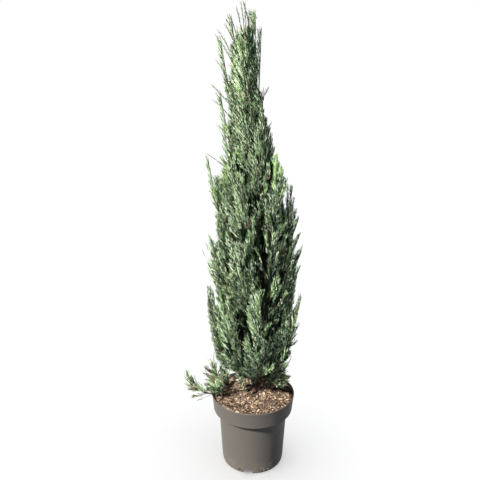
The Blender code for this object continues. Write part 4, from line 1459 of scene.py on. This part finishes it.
def targets_by_mass(space, foliage):
    """Each dense mass's share of the targets: those nearest to its own axis."""
    targets = crown_targets(foliage)
    to_axes = space.distances(targets, space.starts, space.ends)
    open_masses = [index for index, mass in enumerate(MASSES) if not mass.dense]
    to_axes[:, np.isin(space.owners, open_masses)] = 10.0
    owners = space.owners[to_axes.argmin(axis=1)]
    return {index: targets[owners == index] for index in range(len(MASSES))}


def path_to(mass, target):
    """A shoot that leaves the mass's stem below a target and rises to it."""
    shares = np.linspace(0.0, 1.0, 41)
    stem = np.array([mass.at(share) for share in shares])
    gaps = np.linalg.norm(stem - target, axis=1)
    nearest = shares[gaps.argmin()]
    below = (gaps.min() / math.tan(math.radians(RISE_ANGLE)) + RISE_ROOM) / mass.length
    root = mass.at(max(nearest - below, 0.015))
    run = target - root
    limit = LONGEST_SHOOT / max(np.linalg.norm(run), LONGEST_SHOOT)
    root = target - run * limit if limit < 1.0 else root
    bend = root + (target - root) * RISE_BEND
    return bezier(root, bend, target)


def path_places(path, shares):
    """Points and headings at shares of a path's points."""
    where, places = shares * (len(path) - 1), np.arange(len(path))
    slopes = np.gradient(path, axis=0)
    return interpolate(where, places, path), unit(interpolate(where, places, slopes))


def tilted(headings, tilts, turns, lift):
    """Headings tipped over sideways by an angle, in a direction round them, and lifted a little."""
    side = unit(np.cross(headings, SIDEWAYS))
    front = np.cross(headings, side)
    away = np.cos(turns)[:, None] * side + np.sin(turns)[:, None] * front
    return unit(np.cos(tilts)[:, None] * headings + np.sin(tilts)[:, None] * away + lift * UP)


def upright(random, turns, least, most):
    """Upright headings, each tipped by some degrees in its own direction."""
    tilts = np.radians(random.uniform(least, most, len(turns)))
    return tilted(np.tile(UP, (len(turns), 1)), tilts, turns, 0.0)


def spiral(count):
    """Directions in radians, each turned on from the last by the golden angle."""
    return np.radians(GOLDEN_ANGLE) * np.arange(count)


def sprays_along(random, path, count, span, tilts, lift):
    """Where sprays stand along a shoot, as shares of its points, with their roots and headings."""
    shares = span[0] + span[1] * (np.arange(count) + random.uniform(0.2, 0.8, count)) / count
    roots, headings = path_places(path, shares)
    turns = spiral(count) + random.uniform(0.0, 6.28)
    return shares, roots, tilted(headings, np.radians(random.uniform(*tilts, count)), turns, lift)


def in_plume(mass, points):
    """Whether each point lies where a low shoot's foliage may be."""
    low = points[:, 2] < PLUME_TOPS.get(mass.name, CAD_HIGH[2])
    return low & (np.hypot(points[:, 0], points[:, 1]) < PLUME_REACHES.get(mass.name, 1.0))


def add_twig(twigs, path, thick, thin):
    """A tapering, three-sided twig along a path."""
    twigs.add(*tube(path, np.linspace(thick, thin, len(path)), 3))


def spray_tints(random, places, inner):
    """A tint for each spray, drawn by weights that change across the crown, with height and inwards.

    Sprays are yellower and paler to the left, where the key light falls, and bluer to the right: painted
    light and shade. They are yellower at the top, darker inside and low down (painted shade), paler at the
    crown's outside and low on the right (partly young growth, partly painted highlight), and browner round
    the trunk's foot.
    """
    count = len(places)
    right = np.clip((places[:, 0] + 0.14) / 0.28, 0.0, 1.0)
    high = np.clip((places[:, 2] - 1.1) / 0.6, 0.0, 1.0)
    low = np.clip((0.48 - places[:, 2]) / 0.10, 0.0, 1.0)
    shoulder = np.exp(-(((places[:, 2] - 1.28) / 0.045) ** 2)) * (np.abs(places[:, 0] + 0.01) > 0.080)
    weights = np.zeros((count, len(TINTS)))
    # Painted light and shade: more yellow and pale to the left, where the key light falls, more blue to
    # the shaded right.
    weights[:, BLUE] = 0.34 + 0.18 * right - 0.26 * high
    weights[:, GREY] = 0.28
    weights[:, GREEN] = 0.26 + 0.24 * high
    weights[:, YELLOW] = 0.02 + 0.07 * (1.0 - right) + 0.04 * high + 0.06 * low + 2.8 * shoulder
    # Pale: partly young growth and partly painted highlight, at the outside, low on the right and to the
    # lit left.
    weights[:, PALE_AND_HIGHLIGHT] = 0.08 + 0.04 * high + 0.24 * (1.0 - inner) ** 2 + 0.25 * low * right
    weights[:, PALE_AND_HIGHLIGHT] += 0.08 * (1.0 - right) * (1.0 - high)
    # Painted shade: the dark shade tint grows inside the crown and low down.
    weights[:, SHADE] = 0.09 + 0.40 * inner + 0.25 * low
    weights[:, BROWN] = 0.02 + 0.06 * inner + 0.30 * low
    foot = low * np.clip(1.0 - (np.hypot(places[:, 0], places[:, 1]) - 0.070) / 0.030, 0.0, 1.0)
    weights[:, (BLUE, GREY, GREEN, PALE_AND_HIGHLIGHT)] *= 1.0 - 0.80 * foot[:, None]
    weights[:, YELLOW] *= 1.0 - 0.60 * foot
    weights[:, BROWN] += 0.40 * foot
    total = np.cumsum(weights, axis=1)
    draw = random.uniform(0.0, 1.0, count) * total[:, -1]
    return (draw[:, None] > total).sum(axis=1)


def lean_at(places):
    """How far sprays lean over towards -X: all but those on the right of the crown."""
    lean = np.interp(places[:, 0] - CROWN_MIDDLES[0], LEAN_PLACES, LEAN_AMOUNTS)
    return np.outer(lean, (1.0, 0.0, 0.0))


def dress_shoot(mass, path, sprays, foliage, low=False):
    """Sprays round one shoot, and one at its tip.  Low shoots alone may fill the hollow at the foot."""
    random = mass.random
    long = steps_along(path).sum()
    count = max(3, round(long / foliage.spray_gap))
    shares, roots, headings = sprays_along(random, path, count, SHOOT_SPAN, SHOOT_TILTS, 0.12)
    if mass.dense:
        headings = unit(headings + lean_at(roots))
    feather = mass.dense and crown_room(path[-1:])[0] < 0.0
    room = (1.0 - shares) * long + (FEATHER_ROOM if feather else SHOOT_ROOM) * foliage.spray_length
    lengths = np.minimum(foliage.spray_length * random.uniform(*SPRAY_LENGTHS, count), room)
    slim = shares > (FEATHER_SLIM if feather else SHOOT_SLIM)
    shapes = np.where(slim, random.choice(SLIM_SHAPES, count), random.choice(FULL_SHAPES, count))
    inner = np.clip(crown_room(roots) / INNER_DEPTH, 0.0, 1.0)
    tips = roots + lengths[:, None] * headings
    keep = (np.hypot(tips[:, 0], tips[:, 1]) < CROWN_REACH) | (not mass.dense)
    keep &= in_plume(mass, tips)
    if mass.dense and not low:
        keep &= random.uniform(size=count) > 1.6 * in_hollow(tips)
    keep &= (tips[:, 2] > SPRAY_LOWEST) & (random.uniform(size=count) > 1.3 * inner - 0.3)
    tints = spray_tints(random, roots, inner)
    sprays.add(roots[keep], headings[keep], lengths[keep], shapes[keep], tints[keep], random)
    tip_length = min(0.55 * foliage.spray_length, 0.35 * long)
    root, heading = path_places(path, np.array([1.0 - tip_length / long]))
    tint = spray_tints(random, root, inner[-1:])
    sprays.add(root, heading, np.array([tip_length * 1.25]), np.array([SLIM_SHAPES[0]]), tint, random)


def fill_heart(mass, sprays):
    """Blades in painted shade, near-black, close to the stem of a dense mass, so that the crown can't be
    seen through.
    """
    random = mass.random
    count = round(HEARTS_PER_METRE * mass.length)
    shares = CORE_START + (CORE_END - CORE_START) * (np.arange(count) + 0.5) / count
    roots = np.array([mass.at(share - 0.05) for share in shares])
    outward = np.array([mass.outward(s, GOLDEN_ANGLE * n) for n, s in enumerate(shares)])
    along = np.array([mass.heading(share) for share in shares])
    girth = CORE_SHARE * np.array([mass.flame(share) for share in shares])
    deep = crown_room(roots) > 0.008
    lengths = np.clip(1.1 * girth, *HEART_LENGTHS) * random.uniform(0.8, 1.1, count)
    tilts = np.arcsin(np.clip(girth / lengths, 0.1, 0.60) * random.uniform(0.2, 0.9, count))
    headings = unit(np.cos(tilts)[:, None] * along + np.sin(tilts)[:, None] * outward)
    sprays.add_hearts(roots[deep], headings[deep], lengths[deep], random)


def fill_crown(sprays):
    """Blades in painted shade, near-black, well inside the crown's outline, so that no light falls through
    it.
    """
    random = np.random.default_rng(INNER_SEED)
    count = INNER_BLADES
    heights = np.linspace(*INNER_HEIGHTS, count)
    angles = np.radians((GOLDEN_ANGLE * np.arange(count)) % 360.0)
    widths = crown_width(heights, np.sin(angles) ** 2)
    widths *= cleft_shares(np.degrees(angles), heights)
    out = np.maximum(widths - random.uniform(0.040, 0.060, count), 0.20 * widths)
    across = crown_middle(heights) + out * np.cos(angles)
    back = TRUNK_FOOT_PLACE[1] + TRUNK_LEAN[1] * trunk_share(heights) + out * np.sin(angles)
    roots = np.stack([across, back, heights - 0.03], axis=1)
    headings = upright(random, angles, 2.0, 16.0)
    sprays.add_hearts(roots, headings, random.uniform(*INNER_LENGTHS, count), random)


def whip_path(tip, long):
    """A thin shoot that stands out of the crown and ends at a tip."""
    height = tip[2] - long
    middle = crown_middle(height)
    root = np.array([0.75 * middle + 0.25 * tip[0], 0.40 * tip[1], height])
    bend = 0.45 * root + 0.55 * tip + (0.12 * (middle - tip[0]), 0.0, 0.0)
    return bezier(root, bend, tip)


def dress_whip(path, sprays, random):
    """Short, slim sprays pressed close to a thin shoot."""
    long = steps_along(path).sum()
    count = round(long / WHIP_SPRAY_GAP)
    shares, roots, headings = sprays_along(random, path, count, WHIP_SPAN, WHIP_TILTS, 0.0)
    lengths = np.minimum(random.uniform(*WHIP_SPRAY_LENGTHS, count), (1.0 - shares) * long + 0.004)
    tints = random.choice((BLUE, GREEN, GREY, PALE_AND_HIGHLIGHT), count, p=(0.30, 0.35, 0.25, 0.10))
    sprays.add(roots, headings, lengths, random.choice(SLIM_SHAPES, count), tints, random, bend=0.02)


def grow_whips(sprays, twigs):
    """The thin shoots that stand out of the upper crown."""
    random = np.random.default_rng(WHIP_SEED)
    for x, y, z, long in WHIPS:
        path = whip_path(np.array([x, y, z]), long)
        add_twig(twigs, path, 0.0012, 0.0005)
        dress_whip(path, sprays, random)


def grow_foot(mass, sprays, twigs, foliage):
    """Crowded shoots round the trunk's foot, half of them or more bare and dead."""
    random = mass.random
    for number in range(FOOT_SHOOTS):
        angle = GOLDEN_ANGLE * number + random.uniform(-20.0, 20.0)
        start = random.uniform(*FOOT_STARTS)
        reach = random.uniform(*FOOT_REACHES)
        height = random.uniform(*FOOT_HEIGHTS) + 1.1 * max(reach - 0.040, 0.0)
        height += 0.06 * random.uniform() ** 2
        tip = place_at(angle, reach, height, TRUNK_FOOT_PLACE)
        bend = place_at(angle, 0.65 * reach, start + 0.35 * (height - start), TRUNK_FOOT_PLACE)
        path = bezier(trunk_centre(start), bend, tip)
        add_twig(twigs, path[::2], 0.0022, 0.0010)
        bare = abs(angle % 360.0 - BARE_ANGLE) < BARE_WIDTH
        if random.uniform() < FOOT_DRESSED[0 if bare else 1]:
            dress_shoot(mass, path, sprays, foliage, low=True)


def grow_bough_shoots(mass, sprays, twigs, foliage):
    """Short shoots that rise from the outer half of a low bough."""
    random = mass.random
    bough = BOUGHS[mass.name.replace("mass", "bough")]
    path, _ = smooth_path(bough, 20)
    for number in range(BOUGH_SHOOTS):
        roots, headings = path_places(path, np.array([random.uniform(*BOUGH_SPAN)]))
        turn = math.radians(GOLDEN_ANGLE * number)
        away = np.array([math.cos(turn), math.sin(turn), random.uniform(0.5, 1.6)])
        heading = unit(unit(away) + 0.8 * headings[0])
        end = roots[0] + random.uniform(*BOUGH_SHOOT_LENGTHS) * heading
        shoot = bezier(roots[0], 0.5 * (roots[0] + end) + 0.006 * UP, end)
        over_pot = np.hypot(shoot[:, 0], shoot[:, 1]) < context_pot().rim_radius + POT_CLEARANCE
        if (shoot[over_pot, 2] < POT_HEIGHT + POT_CLEARANCE).any() and number % 2:
            continue
        add_twig(twigs, shoot[::2], 0.0013, 0.0007)
        dress_shoot(mass, shoot, sprays, foliage)


def hide_trunk(sprays):
    """Blades in painted shade, near-black, close round the trunk where the crown covers it."""
    random = np.random.default_rng(TRUNK_SEED)
    count = TRUNK_BLADES
    heights = np.linspace(*TRUNK_HEIGHTS, count)
    roots = np.array([trunk_centre(height) for height in heights])
    turns = spiral(count)
    out = random.uniform(0.004, 0.030, count) * np.interp(heights, (0.4, 1.7), (1.0, 0.50))
    roots[:, 0] += out * np.cos(turns)
    roots[:, 1] += out * np.sin(turns)
    headings = upright(random, turns, 4.0, 16.0)
    sprays.add_hearts(roots, headings, random.uniform(*TRUNK_LENGTHS, count), random)


def fill_tuft(sprays):
    """A blunt tuft beside the leader, in near-black tints: painted shade."""
    random = np.random.default_rng(TUFT_SEED)
    count = TUFT_SPRAYS
    roots = TUFT_FOOT + np.outer(np.linspace(0.0, 1.0, count), TUFT_RISE)
    roots += random.normal(0.0, 0.005, (count, 3))
    headings = upright(random, spiral(count), 2.0, 18.0)
    lengths = random.uniform(0.030, 0.045, count)
    shapes = random.choice(FULL_SHAPES, count)
    tints = random.choice((DEEP_SHADE, SHADE), count, p=(0.75, 0.25))
    sprays.add(roots, headings, lengths, shapes, tints, random)


def grow_clusters(mass, sprays, twigs, foliage):
    """Bushy low shoots at a few places round the foot."""
    random = mass.random
    for x, y, z, spread, count, bough in FOOT_CLUSTERS:
        stem, _ = smooth_path(BOUGHS["bough_" + bough], 20)
        for _ in range(count):
            tip = np.array([x, y, z]) + random.normal(0.0, spread, 3) * (1.0, 1.0, 0.8)
            tip[2] = max(tip[2], CLUSTER_LOWEST)
            start = stem[random.integers(16, 20)]
            bend = start + (tip - start) * (0.60, 0.60, 0.30)
            path = bezier(start, bend, tip)
            add_twig(twigs, path[::3], 0.0016, 0.0007)
            dress_shoot(mass, path, sprays, foliage)


PIECES = (  # name of a foliage piece, and the masses in it
    ("foliage_skirt_left", ("mass_skirt_1", "mass_skirt_2", "mass_skirt_7")),
    ("foliage_skirt_right", ("mass_skirt_3", "mass_skirt_4", "mass_skirt_5", "mass_skirt_6")),
    ("foliage_low_shoots", ("mass_left", "mass_right")),
    ("foliage_low", ("mass_low",)),
    ("foliage_middle", ("mass_middle",)),
    ("foliage_high", ("mass_high",)),
    ("foliage_neck", ("mass_neck",)),
    ("foliage_crest", ("mass_crest", "mass_top", "mass_leader")),
)


def trimmed(mass, path):
    """The part of a low shoot's path that lies within its mass's limits, or nothing."""
    inside = in_plume(mass, path)
    count = len(path) if inside.all() else inside.argmin()
    return smooth_path(path[:count], SHOOT_POINTS)[0] if count > 2 else None


def shoot_paths(mass, index, space, targets, foliage):
    """The paths of all a mass's shoots, kept inside its limits and the solids' box."""
    share = 1.0 if mass.dense else 0.0 if mass.name == "mass_leader" else OPEN_MASS_SHOOTS
    count = round(foliage.shoots_per_metre * mass.length * share)
    paths = [shoot_path(mass, index, space, number, count) for number in range(count)]
    paths += [path_to(mass, target) for target in targets]
    paths = [trimmed(mass, path) for path in paths if path is not None]
    low, high = CAD_LOW + BOX_MARGIN, CAD_HIGH - BOX_MARGIN
    return [np.clip(path, low, high) for path in paths if path is not None]


def grow_top(mass, sprays, twigs):
    """What stands round the leader, and the near-black blades of painted shade inside the whole crown."""
    grow_whips(sprays, twigs)
    dress_whip(mass.axis, sprays, mass.random)
    hide_trunk(sprays)
    fill_crown(sprays)
    fill_tuft(sprays)


def grow_mass(mass, index, space, targets, sprays, twigs, foliage):
    """The stem, shoots and sprays of one mass, and what stands beside it."""
    stem, _ = smooth_path(mass.axis, 22)
    twigs.add(*tube(stem, np.linspace(STEM_RADIUS, STEM_TIP_RADIUS, len(stem)), 6))
    for path in shoot_paths(mass, index, space, targets, foliage):
        add_twig(twigs, path[::3], 0.0010, 0.0005)
        dress_shoot(mass, path, sprays, foliage)
    if mass.dense:
        fill_heart(mass, sprays)
        bare = stem[crown_room(stem) < 0.004]
        if len(bare) > 3:
            dress_shoot(mass, bare, sprays, foliage)
    if mass.name == "mass_skirt_1":
        grow_foot(mass, sprays, twigs, foliage)
    if mass.name == "mass_right":
        grow_clusters(mass, sprays, twigs, foliage)
    if mass.name == "mass_leader":
        grow_top(mass, sprays, twigs)
    if mass.name in ("mass_left_out", "mass_left_up", "mass_right"):
        grow_bough_shoots(mass, sprays, twigs, foliage)


class JUNIPER_OT_foliage(bpy.types.Operator):
    """Grow each mass's stem, shoots and sprays of scale-covered cords"""

    bl_idname = "juniper.foliage"
    bl_label = "Twigs and foliage"

    def execute(self, context):
        foliage = context.scene.juniper_foliage
        space = Space()
        targets = targets_by_mass(space, foliage)
        templates = spray_templates(foliage)
        materials = [foliage_material(foliage, name) for name in TINTS]
        twigs = Parts()
        for name, prefixes in PIECES:
            sprays, members = Sprays(), []
            for index, mass in enumerate(MASSES):
                if mass.name.startswith(prefixes):
                    members.append(mass.name)
                    grow_mass(mass, index, space, targets[index], sprays, twigs, foliage)
            piece(name, sprays.build(templates), materials, members)
        names = [mass.name for mass in MASSES]
        bark = twig_material(context.scene.juniper_bark)
        piece("twigs", twigs, [bark], names, smooth=True)
        return {"FINISHED"}


# Stage


def make_floor(stage):
    """A plain round floor under the pot."""
    shape = bmesh.new()
    place = Matrix.Translation((0.0, 0.0, -0.0005))
    bmesh.ops.create_circle(shape, cap_ends=True, segments=96, radius=stage.floor_radius, matrix=place)
    mesh = mesh_of(shape, "floor")
    paint = Paint("pale_floor")
    glow = {"emission_color": (1.0, 1.0, 1.0), "emission_strength": stage.floor_glow}
    mesh.materials.append(paint.finish(base_color=tuple(stage.floor), roughness=0.95, **glow))
    floor = add_object("floor", mesh)
    floor.visible_diffuse = False  # so that the white floor doesn't light the plant from below
    floor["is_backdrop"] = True
    return floor


def make_sun(name, strength, colour, angles, softness):
    """A broad, soft light from a direction."""
    light = bpy.data.lights.new(name, "SUN")
    light.energy = strength
    light.color = colour
    light.angle = math.radians(softness)
    lamp = bpy.data.objects.new(name, light)
    lamp.rotation_euler = [math.radians(angle) for angle in angles]
    bpy.context.scene.collection.objects.link(lamp)
    return lamp


def light_reach(lamp, things, state):
    """Let a light fall on some things alone, or on all but those."""
    lit = bpy.data.collections.new(lamp.name + "_reach")
    for number, thing in enumerate(things):
        lit.objects.link(thing)
        lit.collection_objects[number].light_linking.link_state = state
    lamp.light_linking.receiver_collection = lit


def make_world(stage):
    """A white studio round the plant, which lights it more softly than it shows."""
    world = bpy.data.worlds.new("white_studio")
    world.use_nodes = True
    tree = world.node_tree
    shown = tree.nodes["Background"]
    shown.inputs["Color"].default_value = (1.0, 1.0, 1.0, 1.0)
    lighting = tree.nodes.new("ShaderNodeBackground")
    lighting.inputs["Color"].default_value = (0.93, 0.97, 1.0, 1.0)
    lighting.inputs["Strength"].default_value = stage.ambient
    ray = tree.nodes.new("ShaderNodeLightPath")
    either = tree.nodes.new("ShaderNodeMixShader")
    tree.links.new(ray.outputs["Is Camera Ray"], either.inputs["Fac"])
    tree.links.new(lighting.outputs[0], either.inputs[1])
    tree.links.new(shown.outputs[0], either.inputs[2])
    tree.links.new(either.outputs[0], tree.nodes["World Output"].inputs["Surface"])
    bpy.context.scene.world = world


def make_camera(stage):
    """The camera, a little above the plant's middle and tipped down."""
    data = bpy.data.cameras.new("camera")
    data.lens = stage.focal_length
    camera = bpy.data.objects.new("camera", data)
    camera.location = stage.camera_place
    camera.rotation_euler = (stage.camera_tilt, 0.0, 0.0)
    bpy.context.scene.collection.objects.link(camera)
    bpy.context.scene.camera = camera


class JUNIPER_OT_stage(bpy.types.Operator):
    """Set up the floor, the soft light and the camera"""

    bl_idname = "juniper.stage"
    bl_label = "Floor, light and camera"

    def execute(self, context):
        stage = context.scene.juniper_stage
        floor = make_floor(stage)
        key, back, overhead, fill = (
            make_sun(name, getattr(stage, strength), *look) for name, strength, *look in LIGHTS
        )
        light_reach(key, [floor], "EXCLUDE")
        light_reach(back, [floor], "EXCLUDE")
        light_reach(overhead, [floor], "INCLUDE")
        light_reach(fill, [bpy.data.objects[name] for name, _ in PIECES], "INCLUDE")
        make_world(stage)
        make_camera(stage)
        context.scene.view_settings.view_transform = "Standard"
        return {"FINISHED"}


# Sidebar panel and registration


class JUNIPER_PT_sidebar(bpy.types.Panel):
    """Lists the plant's pieces and their settings"""

    bl_label = "Juniper"
    bl_idname = "JUNIPER_PT_sidebar"
    bl_space_type = "VIEW_3D"
    bl_region_type = "UI"
    bl_category = "Juniper"

    def draw(self, context):
        for operator, setting in PANEL_ROWS:
            box = self.layout.box()
            box.operator(operator.bl_idname)
            group = getattr(context.scene, setting)
            for name in group.bl_rna.properties.keys():
                if name not in ("rna_type", "name"):
                    box.prop(group, name)


SETTINGS = {
    "juniper_pot": JuniperPotSettings,
    "juniper_mulch": JuniperMulchSettings,
    "juniper_bark": JuniperBarkSettings,
    "juniper_foliage": JuniperFoliageSettings,
    "juniper_stage": JuniperStageSettings,
}
OPERATORS = (JUNIPER_OT_pot, JUNIPER_OT_mulch, JUNIPER_OT_bark, JUNIPER_OT_foliage, JUNIPER_OT_stage)
PANEL_ROWS = tuple(zip(OPERATORS, SETTINGS))


def register():
    """Make the settings, operators and panel known to Blender."""
    for name, group in SETTINGS.items():
        bpy.utils.register_class(group)
        setattr(bpy.types.Scene, name, bpy.props.PointerProperty(type=group))
    for item in (*OPERATORS, JUNIPER_PT_sidebar):
        bpy.utils.register_class(item)


def unregister():
    """Take them away again."""
    for item in (JUNIPER_PT_sidebar, *reversed(OPERATORS)):
        bpy.utils.unregister_class(item)
    for name, group in SETTINGS.items():
        delattr(bpy.types.Scene, name)
        bpy.utils.unregister_class(group)


def main():
    """Register the add-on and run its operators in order."""
    register()
    bpy.ops.juniper.pot()
    bpy.ops.juniper.mulch()
    bpy.ops.juniper.bark()
    bpy.ops.juniper.foliage()
    bpy.ops.juniper.stage()


if __name__ == "__main__":
    main()
